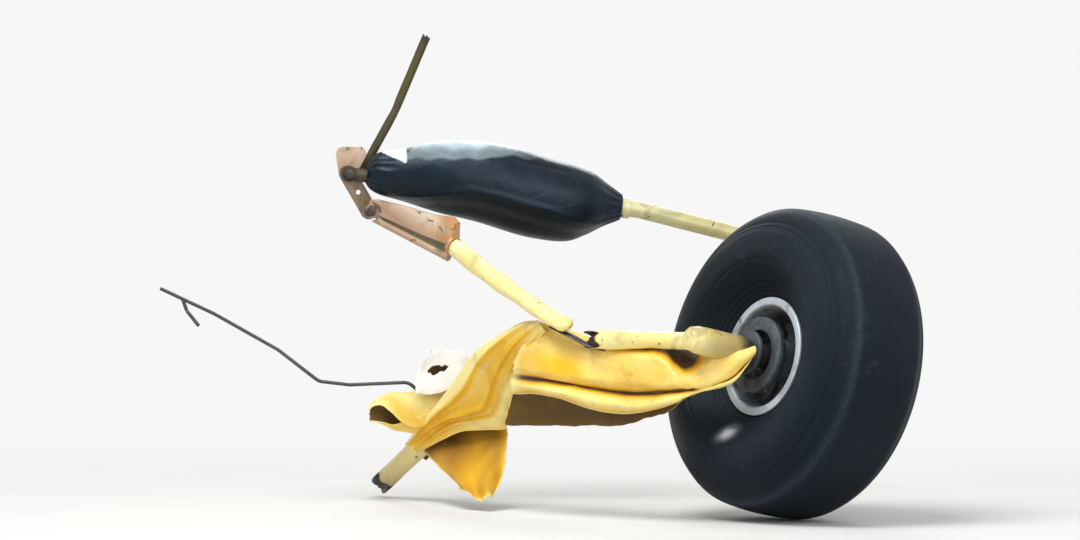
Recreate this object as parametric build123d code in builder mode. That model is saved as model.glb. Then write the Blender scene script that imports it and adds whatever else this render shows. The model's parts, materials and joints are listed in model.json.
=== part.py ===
from build123d import *
import os
from math import asin, cos, radians, sin

os.makedirs("parts", exist_ok=True)

# A main landing gear torn off a light high-wing aircraft, lying as it came to rest.
# Millimetres, +Z up from the floor, +Y outboard along the axle, +X the way the wheel rolls.

# Wheel and tyre
tyre_r = 247.5
tyre_half_width = 108
tyre_wall = 9
crown_half_width = 52
crown_drop = 3
shoulder_r = 45
shoulder_end = 72
side_drop = 82
rim_r = 97
rim_half_width = 62
flange_lip = 7
bead_gap = 1
bead_overhang = 4
bead_width = 16
bead_rise = 12
well_r = 74
rim_wall = 5
web_thickness = 10
barrel_shoulder = 12
well_slope = 11
hub_r = 34
hub_half_length = 52
wheel_bolt_count = 6
wheel_bolt_circle_r = 52
wheel_bolt_r = 4
wheel_bolt_head_r = 6.8
wheel_bolt_head = 6
bearing_r = 27
bearing_half_width = 8
bearing_inset = 9
wheel_lean = 13

# Brake
disc_r = 62
disc_bore_r = 40
disc_thickness = 8
disc_offset = 72
disc_hat_wall = 4
caliper_gap = 5
caliper_length = 44
caliper_reach = 20
caliper_bridge = 6
caliper_wall = 10

# Axle and what holds the vee
axle_r = 19
axle_bore_r = 14
axle_in = 205
axle_out = 76
nut_r = 24
nut_thickness = 10
nut_gap = 6
running_gap = 0.05
torque_plate_r = 36
torque_plate_thickness = 6
torque_plate_gap = 14
torque_arm_width = 34
socket_wall = 4
socket_in = 220
socket_cap = 5
socket_out = 112
weld_inset = 18
cut_margin = 60

# Vee leg tubes
front_r = 14
rear_r = 17
tube_wall = 1.6
kink_radius = 70
rear_end_slope = 31
rear_end_run = 127

# Cabane bracket, strut and boot
plate_thickness = 4
plate_r = 14
lobe_r = 12
lobe_width = 26
lobe_rise = 32
bracket_hole_r = 4
eye_length = 24
strut_eye_r = 13
hinge_eye_r = 12
bolt_r = 5
bolt_head_r = 8.5
bolt_head = 6
tab_thickness = 5
wrench_gap = 1
cabane_r = 7
cabane_length = 250
cabane_rise = 65
cabane_offset = 28
cabane_wall = 1.5
tab_r = 10
strut_dip = 7.3
strut_bend = 7.2
strut_bend_at = 486
strut_bend_r = 60
strut_upper_r = 11
strut_lower_r = 14
strut_wall = 2
strut_length = 733
tube_in_boot = 60
boot_start = 34
boot_end = 456
boot_neck = 2
collar_wall = 3
collar_width = 14
fork_width = 34
fork_depth = 28
fork_corner_r = 5
fork_root = 14
fork_length = 44
fork_slot = 12
fork_bolt_inset = 14

# Leg end fitting
arm_width = 16
web_width = 4
cap_r = 17
cap_thickness = 6
rod_r = 6.5

# Brake pipe
pipe_r = 3
pipe_bend_r = 20
pipe_start_at = 282
pipe_leave_at = 334
clip_at = 300
clip_wall = 2
clip_width = 12

# Fabric
skin_thickness = 3
skin_from_kink = 17
skin_near_drop = (88, 60)
skin_far_drop = (150, 66)
skin_spread = (26, 14)
band_wall = 5
band_gap = 0.3
band_start_run = 40
band_end_gap = 30
flap_thickness = 4
scrap_thickness = 3
scrap_hole_r = 7
scrap_at = 274
roll_at = 362
roll_root_r = 20
roll_tip_r = 14

# Places about the wheel centre, heights from the floor
wheel_x = 339
wheel_y = 182.5


# The tyre's flat crown runs into a round shoulder, on which the leaning wheel stands
lean = radians(wheel_lean)
crown_arc_r = (crown_half_width**2 + crown_drop**2) / (2 * crown_drop)
crown_edge_angle = asin(crown_half_width / crown_arc_r)
shoulder_centre_r = tyre_r - crown_drop - shoulder_r * cos(crown_edge_angle)
shoulder_centre_w = crown_half_width - shoulder_r * sin(crown_edge_angle)
wheel_z = shoulder_centre_r * cos(lean) + shoulder_centre_w * sin(lean) + shoulder_r


def place(x, y, z):
    return Vector(wheel_x + x, wheel_y + y, z)


wheel_centre = place(0, 0, wheel_z)
outboard = Vector(0, cos(lean), -sin(lean))
wheel_up = Vector(0, sin(lean), cos(lean))
wheel_axis = Axis(wheel_centre, outboard)
# Half section of the wheel: first coordinate is radius, second is distance outboard
section_plane = Plane(wheel_centre, x_dir=wheel_up, z_dir=wheel_up.cross(outboard))


def axle_plane(distance):
    """A plane across the axle, facing outboard, its +Y up the wheel."""
    return Plane(wheel_centre + outboard * distance, x_dir=(-1, 0, 0), z_dir=outboard)


def save(name, builder):
    builder.part.label = name
    export_step(builder.part, f"parts/{name}.step")


# Tyre: crown, shoulders and side walls as arcs, open between its beads
bead_w = rim_half_width - 2 * bead_gap
bead_r = rim_r - flange_lip
side_r = tyre_r - side_drop
inner_crown_r = tyre_r - 2 * tyre_wall


def shoulder_at(angle, side):
    """A point on the tyre's shoulder, by its angle from the radius."""
    reach = (shoulder_r * cos(angle), shoulder_r * sin(angle))
    return (shoulder_centre_r + reach[0], side * (shoulder_centre_w + reach[1]))


with BuildPart() as tyre:
    with BuildSketch(section_plane):
        with BuildLine():
            crown = ThreePointArc(
                (tyre_r - crown_drop, -crown_half_width),
                (tyre_r, 0),
                (tyre_r - crown_drop, crown_half_width),
            )
            for side in (1, -1):
                shoulder = ThreePointArc(
                    shoulder_at(crown_edge_angle, side),
                    shoulder_at(radians(shoulder_end / 2), side),
                    shoulder_at(radians(shoulder_end), side),
                )
                wall = ThreePointArc(
                    shoulder @ 1,
                    (side_r, side * tyre_half_width),
                    (rim_r + 2 * bead_gap, side * (bead_w + bead_overhang)),
                )
                lip = Line(wall @ 1, (rim_r + bead_gap, side * bead_w))
                foot = Line(lip @ 1, (bead_r, side * (bead_w - 2 * bead_gap)))
                inner_foot = Line(foot @ 1, (bead_r, side * (bead_w - bead_width)))
                inner_rise = Line(inner_foot @ 1, (rim_r + bead_rise, side * (bead_w - bead_width / 2)))
                inner_wall = ThreePointArc(
                    inner_rise @ 1,
                    (side_r, side * (tyre_half_width - tyre_wall)),
                    (inner_crown_r, side * crown_half_width),
                )
            Line((inner_crown_r, -crown_half_width), (inner_crown_r, crown_half_width))
        make_face()
    revolve(axis=wheel_axis)
save("tyre", tyre)

# Wheel halves: flange, barrel, web and hub, bolted together at the middle
for name, side in (("wheel_half_inboard", -1), ("wheel_half_outboard", 1)):
    with BuildPart() as half:
        with BuildSketch(section_plane):
            with BuildLine():
                Polyline(
                    (bearing_r, 0),
                    (bearing_r, side * hub_half_length),
                    (hub_r, side * hub_half_length),
                    (hub_r, side * web_thickness),
                    (well_r - rim_wall, side * web_thickness),
                    (bead_r - rim_wall, side * (rim_half_width - barrel_shoulder)),
                    (bead_r - rim_wall, side * (rim_half_width + rim_wall)),
                    (rim_r, side * (rim_half_width + rim_wall)),
                    (rim_r, side * (bead_w + bead_gap)),
                    (bead_r, side * (bead_w - bead_gap)),
                    (bead_r, side * (bead_w - bead_width - 2 * bead_gap)),
                    (well_r, side * well_slope),
                    (well_r, 0),
                    close=True,
                )
            make_face()
        revolve(axis=wheel_axis)
        with Locations(axle_plane(0)):
            with PolarLocations(wheel_bolt_circle_r, wheel_bolt_count):
                Cylinder(wheel_bolt_r, 3 * web_thickness, mode=Mode.SUBTRACT)
    save(name, half)

# Through bolts that hold the halves together
with BuildPart() as wheel_bolts:
    with Locations(axle_plane(0)):
        with PolarLocations(wheel_bolt_circle_r, wheel_bolt_count):
            Cylinder(wheel_bolt_r, 2 * web_thickness)
    for side in (1, -1):
        with Locations(axle_plane(side * (web_thickness + wheel_bolt_head / 2))):
            with PolarLocations(wheel_bolt_circle_r, wheel_bolt_count):
                Cylinder(wheel_bolt_head_r, wheel_bolt_head)
save("wheel_bolts", wheel_bolts)

# Bearings between the wheel and the axle
for name, side in (("bearing_inboard", -1), ("bearing_outboard", 1)):
    with BuildPart() as bearing:
        with BuildSketch(axle_plane(side * (hub_half_length - bearing_inset))):
            Circle(bearing_r)
            Circle(axle_r + running_gap, mode=Mode.SUBTRACT)
        extrude(amount=bearing_half_width, both=True)
    save(name, bearing)

# Brake disc on its hat, turning with the wheel
with BuildPart() as brake_disc:
    with BuildSketch(section_plane):
        with BuildLine():
            Polyline(
                (hub_r - disc_hat_wall, -hub_half_length),
                (disc_bore_r + disc_hat_wall, -hub_half_length),
                (disc_bore_r + disc_hat_wall, -disc_offset),
                (disc_r, -disc_offset),
                (disc_r, -disc_offset - disc_thickness),
                (disc_bore_r, -disc_offset - disc_thickness),
                (disc_bore_r, -hub_half_length - disc_hat_wall),
                (hub_r - disc_hat_wall, -hub_half_length - disc_hat_wall),
                close=True,
            )
        make_face()
    revolve(axis=wheel_axis)
save("brake_disc", brake_disc)

# Axle, hollow, with its nut outboard
with BuildPart() as axle:
    with BuildSketch(axle_plane(-axle_in)):
        Circle(axle_r)
        Circle(axle_bore_r, mode=Mode.SUBTRACT)
    extrude(amount=axle_in + axle_out)
save("axle", axle)

with BuildPart() as axle_nut:
    with BuildSketch(axle_plane(hub_half_length + nut_gap)):
        RegularPolygon(nut_r, 6)
        Circle(axle_r, mode=Mode.SUBTRACT)
    extrude(amount=nut_thickness)
save("axle_nut", axle_nut)

# Plate that holds the brake against turning
torque_plate_at = -disc_offset - disc_thickness - torque_plate_gap
with BuildPart() as torque_plate:
    with BuildSketch(axle_plane(torque_plate_at - torque_plate_thickness)):
        Circle(torque_plate_r)
        with Locations((disc_r / 2, 0)):
            Rectangle(disc_r, torque_arm_width)
        Circle(axle_r, mode=Mode.SUBTRACT)
    extrude(amount=torque_plate_thickness)
save("torque_plate", torque_plate)

# Caliper astride the disc, on the trailing side
with BuildPart() as brake_caliper:
    with BuildSketch(axle_plane(torque_plate_at)):
        with Locations((disc_r + caliper_gap + caliper_bridge, 0)):
            Rectangle(caliper_reach + caliper_bridge, caliper_length, align=(Align.MAX, Align.CENTER))
    extrude(amount=-(torque_plate_at + disc_offset) + caliper_gap + caliper_wall)
    with BuildSketch(axle_plane(-disc_offset - disc_thickness - caliper_gap)):
        Circle(disc_r + caliper_gap)
    extrude(amount=disc_thickness + 2 * caliper_gap, mode=Mode.SUBTRACT)
save("brake_caliper", brake_caliper)

# Socket welded at the point of the vee
socket_r = axle_r + socket_wall
with BuildPart() as axle_socket:
    with BuildSketch(axle_plane(-socket_in)):
        Circle(socket_r)
        Circle(axle_r, mode=Mode.SUBTRACT)
    extrude(amount=socket_in - socket_out)
    with BuildSketch(axle_plane(-socket_in)):
        Circle(socket_r)
    extrude(amount=socket_cap)
save("axle_socket", axle_socket)

with BuildPart() as socket_envelope:
    with BuildSketch(axle_plane(-socket_in - cut_margin)):
        Circle(socket_r)
    extrude(amount=socket_in + cut_margin)


def along(point, distance):
    """A point that lies a distance inboard of the wheel centre on the axle line."""
    return wheel_centre - outboard * distance + Vector(*point)


# Front vee tube: buckled level, then up to the end fitting
front_start = along((0, 0, 0), socket_in - weld_inset)
front_low = place(-243, -284, 299)
front_top = place(-496, -318, 429)
with BuildPart() as vee_front_tube:
    with BuildLine() as front_path:
        FilletPolyline(front_start, front_low, front_top, radius=kink_radius)
    with BuildSketch(Plane(front_path.line @ 0, z_dir=front_path.line % 0)):
        Circle(front_r)
        Circle(front_r - tube_wall, mode=Mode.SUBTRACT)
    sweep()
    add(socket_envelope.part, mode=Mode.SUBTRACT)
save("vee_front_tube", vee_front_tube)

# Rear vee tube: under the skin, up to its kink, then down to its torn end on the floor
slope = radians(rear_end_slope)
rear_start = along((0, 0, 0), socket_out + weld_inset)
rear_under = place(-60, -215, 229)
rear_kink = place(-330, -262, 296)
rear_knee = place(-700, -255, rear_r * cos(slope) + rear_end_run * sin(slope))
rear_end = rear_knee + Vector(-rear_end_run * cos(slope), 0, -rear_end_run * sin(slope))
with BuildPart() as vee_rear_tube:
    with BuildLine() as rear_path:
        FilletPolyline(
            rear_start, rear_under, rear_kink, rear_knee, rear_end, radius=kink_radius / 2
        )
    with BuildSketch(Plane(rear_path.line @ 0, z_dir=rear_path.line % 0)):
        Circle(rear_r)
        Circle(rear_r - tube_wall, mode=Mode.SUBTRACT)
    sweep()
    add(socket_envelope.part, mode=Mode.SUBTRACT)
save("vee_rear_tube", vee_rear_tube)

# Cabane bracket plane: +X along the strut's level run, +Y up, facing the near side
strut_run = Vector(0.475, 0.880, 0).normalized()
near = Vector(0.880, -0.475, 0).normalized()
cabane_bolt_at = place(-684, -398, 545)
hinge_drop = 62
hinge_out = 36


def bracket_plane(offset):
    """A plane along the cabane bracket, a distance nearer than the eyes' middle."""
    return Plane(cabane_bolt_at + near * offset, x_dir=strut_run, z_dir=near)


plate_face = -eye_length / 2
with BuildPart() as cabane_bracket:
    with BuildSketch(bracket_plane(plate_face - plate_thickness)):
        with Locations((0, 0)):
            Circle(plate_r)
        with Locations((hinge_out, -hinge_drop)):
            Circle(plate_r)
        make_hull()
    extrude(amount=plate_thickness)
    with BuildSketch(bracket_plane(plate_face - plate_thickness)):
        Circle(plate_r)
        with Locations((-lobe_width / 4, lobe_rise), (3 * lobe_width / 4, lobe_rise)):
            Circle(lobe_r)
        make_hull()
    extrude(amount=plate_thickness)
    with BuildSketch(bracket_plane(plate_face - plate_thickness)):
        with Locations((0, 0), (hinge_out, -hinge_drop)):
            Circle(bolt_r)
        with Locations((hinge_out / 2, -hinge_drop / 2)):
            Circle(bracket_hole_r)
    extrude(amount=plate_thickness, mode=Mode.SUBTRACT)
save("cabane_bracket", cabane_bracket)

# Bolts through the bracket and the eyes
stack = {"cabane_bolt": (0, 0, tab_thickness), "hinge_bolt": (hinge_out, -hinge_drop, 0)}
for name, (x, y, extra) in stack.items():
    back = plate_face - plate_thickness - extra
    front = eye_length / 2
    with BuildPart() as bolt:
        with BuildSketch(bracket_plane(back)):
            with Locations((x, y)):
                Circle(bolt_r)
        extrude(amount=front - back)
        for start, amount in ((back, -bolt_head), (front, bolt_head)):
            with BuildSketch(bracket_plane(start)):
                with Locations((x, y)):
                    RegularPolygon(bolt_head_r, 6)
            extrude(amount=amount)
    save(name, bolt)


def bracket_point(x, y, offset=0):
    return bracket_plane(offset).from_local_coords(Vector(x, y, 0))


def tube_between(start, end, radius, bore=0):
    """A straight round tube, to be added to the piece that it belongs to."""
    run = end - start
    with BuildPart() as tube:
        with BuildSketch(Plane(start, z_dir=run.normalized())):
            Circle(radius)
            if bore:
                Circle(bore, mode=Mode.SUBTRACT)
        extrude(amount=run.length)
    return tube.part


# Strut: eye and upper tube, lower tube bent below the boot, fork
dip = radians(strut_dip)
strut_dir = strut_run * cos(dip) + Vector(0, 0, -sin(dip))


def strut_plane(distance):
    """A plane across the strut, a distance down it from the cabane bolt."""
    return Plane(cabane_bolt_at + strut_dir * distance, x_dir=near, z_dir=strut_dir)


bent_dip = radians(strut_dip + strut_bend)
bent_dir = strut_run * cos(bent_dip) + Vector(0, 0, -sin(bent_dip))
bend_point = cabane_bolt_at + strut_dir * strut_bend_at


def bent_plane(distance):
    """A plane across the strut below its bend, by its distance down it from the cabane bolt."""
    return Plane(bend_point + bent_dir * (distance - strut_bend_at), x_dir=near, z_dir=bent_dir)


with BuildPart() as strut_upper_tube:
    with BuildSketch(strut_plane(0)):
        Circle(strut_upper_r)
    extrude(amount=boot_start + tube_in_boot)
    with BuildSketch(bracket_plane(plate_face)):
        Circle(strut_eye_r)
    extrude(amount=eye_length)
    with BuildSketch(bracket_plane(plate_face)):
        Circle(bolt_r)
    extrude(amount=eye_length, mode=Mode.SUBTRACT)
save("strut_upper_tube", strut_upper_tube)

lower_start = boot_end - tube_in_boot
with BuildPart() as strut_lower_tube:
    with BuildLine() as strut_path:
        FilletPolyline(
            strut_plane(lower_start).origin,
            bend_point,
            bent_plane(strut_length - fork_length).origin,
            radius=strut_bend_r,
        )
    with BuildSketch(strut_plane(lower_start)):
        Circle(strut_lower_r)
        Circle(strut_lower_r - strut_wall, mode=Mode.SUBTRACT)
    sweep(path=strut_path.line)
save("strut_lower_tube", strut_lower_tube)

with BuildPart() as strut_fork:
    with BuildSketch(bent_plane(strut_length - fork_length)):
        RectangleRounded(fork_width, fork_depth, fork_corner_r)
    extrude(amount=fork_length)
    with BuildSketch(bent_plane(strut_length - fork_length + fork_root)):
        Rectangle(fork_slot, fork_width)
    extrude(amount=fork_length, mode=Mode.SUBTRACT)
    with BuildSketch(Plane(bent_plane(strut_length - fork_bolt_inset).origin, x_dir=bent_dir, z_dir=near)):
        Circle(bolt_r)
    extrude(amount=fork_width, both=True, mode=Mode.SUBTRACT)
save("strut_fork", strut_fork)

# Boot over the shock cords: a padded spindle that rides up on the strut
# Its rings: the distance down the strut, the radius, and how far the ring sits above the strut
boot_rings = (
    (boot_start, 13, 0),
    (60, 26, 6),
    (98, 42, 12),
    (132, 54, 17),
    (190, 63, 17),
    (250, 69, 11),
    (320, 69, 0),
    (370, 64, -4),
    (404, 52, -1),
    (432, 34, 0),
    (boot_end, 21, 0),
)
strut_above = near.cross(strut_dir)
upper_seat = tube_between(
    strut_plane(boot_start - collar_width).origin,
    strut_plane(boot_start + tube_in_boot).origin,
    strut_upper_r,
)
lower_seat = tube_between(
    strut_plane(lower_start).origin, strut_plane(boot_end + collar_width).origin, strut_lower_r
)
with BuildPart() as shock_boot:
    for distance, radius, lift in boot_rings:
        with BuildSketch(Plane(strut_plane(distance).origin + strut_above * lift, x_dir=near, z_dir=strut_dir)):
            Circle(radius)
    loft()
    add(upper_seat, mode=Mode.SUBTRACT)
    add(lower_seat, mode=Mode.SUBTRACT)
save("shock_boot", shock_boot)

with BuildPart() as boot_collar_lower:
    with BuildSketch(strut_plane(boot_end)):
        Circle(strut_lower_r + collar_wall)
        Circle(strut_lower_r, mode=Mode.SUBTRACT)
    extrude(amount=collar_width)
save("boot_collar_lower", boot_collar_lower)

# Broken cabane tube on the far side of the bracket: a flattened end, bent up beside the strut
rise_angle = radians(cabane_rise)
cabane_dir = strut_run * cos(rise_angle) + Vector(0, 0, sin(rise_angle))
tab_back = plate_face - plate_thickness - tab_thickness
tube_root = bracket_point(cabane_offset, 0, tab_back - cabane_r + tab_thickness / 2)
tube_tip = tube_root + cabane_dir * cabane_length
cabane_pipe = tube_between(tube_root, tube_tip, cabane_r, cabane_r - cabane_wall)
with BuildPart() as cabane_tube:
    with BuildSketch(bracket_plane(tab_back)):
        Circle(tab_r)
        with Locations((cabane_offset, 0)):
            Circle(tab_r)
        make_hull()
        Circle(bolt_r, mode=Mode.SUBTRACT)
    extrude(amount=tab_thickness)
    add(cabane_pipe)
    with BuildSketch(bracket_plane(tab_back + tab_thickness)):
        with Locations((cabane_offset / 2, 0)):
            Circle(cut_margin)
    extrude(amount=eye_length, mode=Mode.SUBTRACT)
    with BuildSketch(bracket_plane(tab_back)):
        Circle(bolt_head_r + wrench_gap)
    extrude(amount=-eye_length, mode=Mode.SUBTRACT)
save("cabane_tube", cabane_tube)

# Leg end fitting: a tapered arm over a thin web, and the rod under it, from the hinge eye to the tube's cap
hinge_at = bracket_point(hinge_out, -hinge_drop)
arm_dir = (front_top - hinge_at).normalized()
arm_length = (front_top - hinge_at).length
arm_face = arm_dir.cross(Vector(0, 0, 1)).normalized()
fitting_plane = Plane(hinge_at, x_dir=arm_dir, z_dir=arm_face)
arm_outline = (
    (-4, 8),
    (2, 22),
    (71, 31),
    (125, 36),
    (167, 45),
    (180, 39),
    (arm_length, cap_r),
    (arm_length, 2),
    (120, 0),
    (24, 2),
)
web_outline = ((0, 8), (arm_length - cap_thickness, 12), (arm_length - cap_thickness, -cap_r), (0, -6))
with BuildPart() as leg_end_fitting:
    for outline, width in ((arm_outline, arm_width), (web_outline, web_width)):
        with BuildSketch(fitting_plane):
            with BuildLine():
                Polyline(*outline, close=True)
            make_face()
        extrude(amount=width / 2, both=True)
    with BuildSketch(Plane(front_top, z_dir=arm_dir)):
        Circle(cap_r)
    extrude(amount=-cap_thickness)
    with BuildSketch(bracket_plane(plate_face)):
        with Locations((hinge_out, -hinge_drop)):
            Circle(hinge_eye_r)
    extrude(amount=eye_length)
    with BuildSketch(bracket_plane(plate_face)):
        with Locations((hinge_out, -hinge_drop)):
            Circle(bolt_r)
    extrude(amount=eye_length, mode=Mode.SUBTRACT)
    for start, amount in ((eye_length / 2, cut_margin), (plate_face, -cut_margin)):
        with BuildSketch(bracket_plane(start)):
            with Locations((hinge_out, -hinge_drop)):
                Circle(plate_r + 2 * wrench_gap)
        extrude(amount=amount, mode=Mode.SUBTRACT)
    with BuildSketch(Plane(front_top, z_dir=front_path.line % 1)):
        Circle(cut_margin)
    extrude(amount=-cut_margin, mode=Mode.SUBTRACT)
save("leg_end_fitting", leg_end_fitting)

rod_body = tube_between(
    fitting_plane.from_local_coords(Vector(0, -rod_r - 1, 0)),
    fitting_plane.from_local_coords(Vector(arm_length - cap_thickness, -cap_r - rod_r / 2, 0)),
    rod_r,
)
with BuildPart() as fitting_rod:
    add(rod_body)
    with BuildSketch(bracket_plane(plate_face - cut_margin)):
        with Locations((hinge_out, -hinge_drop)):
            Circle(plate_r + 2 * wrench_gap)
    extrude(amount=2 * cut_margin, mode=Mode.SUBTRACT)
    add(leg_end_fitting.part, mode=Mode.SUBTRACT)
save("fitting_rod", fitting_rod)

# Torn skin that hangs over the rear tube, its far side longer than its near side
skin_dir = (rear_kink - rear_under).normalized()
skin_inner_r = rear_r + band_gap
skin_outer_r = skin_inner_r + skin_thickness
skin_ends = (rear_kink - skin_dir * skin_from_kink, rear_under + skin_dir * skin_from_kink)
with BuildPart() as fabric_skin:
    for centre, near_drop, far_drop, spread in zip(skin_ends, skin_near_drop, skin_far_drop, skin_spread):
        with BuildSketch(Plane(centre, x_dir=(0, 0, 1), z_dir=skin_dir)):
            with BuildLine():
                over = CenterArc((0, 0), skin_outer_r, -90, 180)
                under = CenterArc((0, 0), skin_inner_r, -90, 180)
                for end, drop, side in ((0, near_drop, -1), (1, far_drop, 1)):
                    Polyline(
                        over @ end,
                        (-drop, side * (skin_outer_r + spread)),
                        (-drop, side * (skin_inner_r + spread)),
                        under @ end,
                    )
            make_face()
    loft(ruled=True)
save("fabric_skin", fabric_skin)

# Fabric still wrapped round the rear tube
band_r = rear_r + band_gap + band_wall
band_dir = (rear_knee - rear_kink).normalized()
band_start = rear_kink + band_dir * band_start_run
band_end = rear_knee - band_dir * band_end_gap
with BuildPart() as fabric_band:
    with BuildSketch(Plane(band_start, z_dir=band_dir)):
        Circle(band_r)
        Circle(rear_r + band_gap, mode=Mode.SUBTRACT)
    extrude(amount=(band_end - band_start).length)
save("fabric_band", fabric_band)

# Flap that hangs from the band to the floor, in a plane that touches the band's near side
flap_tip = place(-392, -329, 0)
flap_reach = flap_tip - rear_kink
flap_reach = flap_reach - band_dir * flap_reach.dot(band_dir)
flap_hang = flap_reach.normalized()
flap_offset = band_r + band_gap
flap_tilt = asin(flap_offset / flap_reach.length)
flap_side = flap_hang * sin(flap_tilt) + band_dir.cross(flap_hang) * cos(flap_tilt)
# Its outline: first the distance down the band, then away from it
flap_outline = (
    (40, -6),
    (95, 127),
    (165, 222),
    (200, 245),
    (228, 205),
    (282, 134),
    (344, 72),
    (352, 20),
    (346, -6),
)
with BuildPart() as fabric_flap:
    with BuildSketch(Plane(rear_kink + flap_side * flap_offset, x_dir=band_dir, z_dir=flap_side)):
        with BuildLine():
            Polyline(*flap_outline, close=True)
        make_face()
    extrude(amount=flap_thickness)
    with BuildSketch(Plane(flap_tip)):
        Rectangle(4 * cut_margin, 4 * cut_margin)
    extrude(amount=-cut_margin, mode=Mode.SUBTRACT)
save("fabric_flap", fabric_flap)


def beside_band(distance, side, gap):
    """A point beside the band, a distance down it from the kink."""
    square = (side - band_dir * side.dot(band_dir)).normalized()
    return rear_kink + band_dir * distance + square * (band_r + gap)


# White-backed scrap that stands on the band, with its torn hole
view_right = Vector(0.609, 0.793, 0)
scrap_foot = beside_band(scrap_at, Vector(0, 0, 1), band_gap)
scrap_outline = (
    (-4, 0.2),
    (-84, 12),
    (-76, 55),
    (-40, 70),
    (10, 66),
    (18, 34),
    (6, 3.6),
)
with BuildPart() as white_scrap:
    with BuildSketch(Plane(scrap_foot, x_dir=view_right, z_dir=view_right.cross(Vector(0, 0, 1)))):
        with BuildLine():
            Polyline(*scrap_outline, close=True)
        make_face()
        with Locations((-42, 36)):
            Circle(scrap_hole_r, mode=Mode.SUBTRACT)
    extrude(amount=scrap_thickness)
save("white_scrap", white_scrap)

# Rolled end of fabric that sticks out beside the band
roll_root = rear_kink + band_dir * roll_at
roll_tip = place(-716, -334, 145)
with BuildPart() as rolled_end:
    with BuildSketch(Plane(roll_root, z_dir=(roll_tip - roll_root).normalized())):
        Circle(roll_root_r)
    with BuildSketch(Plane(roll_tip, z_dir=(roll_tip - roll_root).normalized())):
        Circle(roll_tip_r)
    loft()
    with BuildSketch(Plane(band_start, z_dir=band_dir)):
        Circle(band_r + band_gap)
    extrude(amount=(band_end - band_start).length + cut_margin, mode=Mode.SUBTRACT)
save("rolled_end", rolled_end)

# Clip on the band and the brake pipe, bent and stiff, torn from the leg
pipe_side = Vector(0, 1, 0.5)
clip_side = (pipe_side - band_dir * pipe_side.dot(band_dir)).normalized()
clip_outer_r = band_r + band_gap + clip_wall
with BuildPart() as pipe_clip:
    with BuildSketch(Plane(rear_kink + band_dir * clip_at, x_dir=clip_side, z_dir=band_dir)):
        Rectangle(clip_outer_r, 2 * clip_outer_r, align=(Align.MIN, Align.CENTER))
        Circle(clip_outer_r, mode=Mode.INTERSECT)
        Circle(band_r + band_gap, mode=Mode.SUBTRACT)
    extrude(amount=clip_width)
save("pipe_clip", pipe_clip)

pipe_seat = band_gap + clip_wall + band_gap + pipe_r
pipe_route = (
    beside_band(pipe_start_at, pipe_side, pipe_seat),
    beside_band(pipe_leave_at, pipe_side, pipe_seat),
    place(-681, -280, 198),
    place(-735, -360, 194),
    place(-764, -402, 200),
    place(-804, -456, 252),
    place(-868, -539, 311),
    place(-923, -610, 353),
)
with BuildPart() as brake_pipe:
    with BuildLine() as pipe_path:
        FilletPolyline(*pipe_route, radius=pipe_bend_r)
    with BuildSketch(Plane(pipe_path.line @ 0, z_dir=pipe_path.line % 0)):
        Circle(pipe_r)
    sweep()
save("brake_pipe", brake_pipe)

# The pipe's broken branch, folded back under it
hook_route = (place(-899, -581, 334), place(-895, -576, 316), place(-883, -560, 291))
with BuildPart() as pipe_hook:
    with BuildLine() as hook_path:
        FilletPolyline(*hook_route, radius=pipe_bend_r)
    with BuildSketch(Plane(hook_path.line @ 0, z_dir=hook_path.line % 0)):
        Circle(pipe_r)
    sweep()
    add(brake_pipe.part, mode=Mode.SUBTRACT)
save("pipe_hook", pipe_hook)
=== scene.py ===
import json
from math import asin, atan2, cos, exp, pi, radians, sin, sqrt

import bmesh
import bpy
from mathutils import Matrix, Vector, noise


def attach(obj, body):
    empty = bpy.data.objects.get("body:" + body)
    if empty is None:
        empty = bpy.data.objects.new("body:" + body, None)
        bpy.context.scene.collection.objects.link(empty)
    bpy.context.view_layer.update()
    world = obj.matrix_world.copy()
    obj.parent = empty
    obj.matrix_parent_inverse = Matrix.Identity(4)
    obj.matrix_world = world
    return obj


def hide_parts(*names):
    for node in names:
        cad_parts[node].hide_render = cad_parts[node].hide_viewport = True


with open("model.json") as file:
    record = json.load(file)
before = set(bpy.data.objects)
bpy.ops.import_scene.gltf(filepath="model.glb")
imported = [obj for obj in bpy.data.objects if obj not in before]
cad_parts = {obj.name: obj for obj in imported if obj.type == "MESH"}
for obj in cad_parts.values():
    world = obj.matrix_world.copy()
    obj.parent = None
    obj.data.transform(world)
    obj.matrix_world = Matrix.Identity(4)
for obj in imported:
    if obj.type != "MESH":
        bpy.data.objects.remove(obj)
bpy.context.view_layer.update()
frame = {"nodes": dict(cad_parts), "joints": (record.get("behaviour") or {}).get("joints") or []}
nodes = frame["nodes"]

# The camera of the photograph: how far from the wheel it stands and how high, its focal length in photo pixels,
# the column of the wheel centre and the row of the camera's own level
EYE_DISTANCE, EYE_HEIGHT, FOCAL = 14.8, 1.09, 2900.0
WHEEL_U, LEVEL_V = 651.1, 250
# What the render frames of it: how many pixels across, and the pixel at the middle
FRAMED_WIDTH = 340
AIM_U, AIM_V = 571, 385
SENSOR = 36.0
UP = Vector((0, 0, 1))
RIGHT = Vector((0.6088, 0.7934, 0))
AWAY = Vector((-0.7934, 0.6088, 0))

# The wheel's centre, the floor below it, its lean, the way outboard along its axle and the way up its face
WHEEL = Vector(frame["joints"][0]["pos_m"])
GROUND = Vector((WHEEL.x, WHEEL.y, 0))
LEAN = radians(13)
OUT = Vector((0, cos(LEAN), -sin(LEAN)))
RISE = Vector((0, sin(LEAN), cos(LEAN)))


def place(x, y, z):
    """A point about the wheel centre, its height from the floor."""
    return GROUND + Vector((x, y, z))


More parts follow.
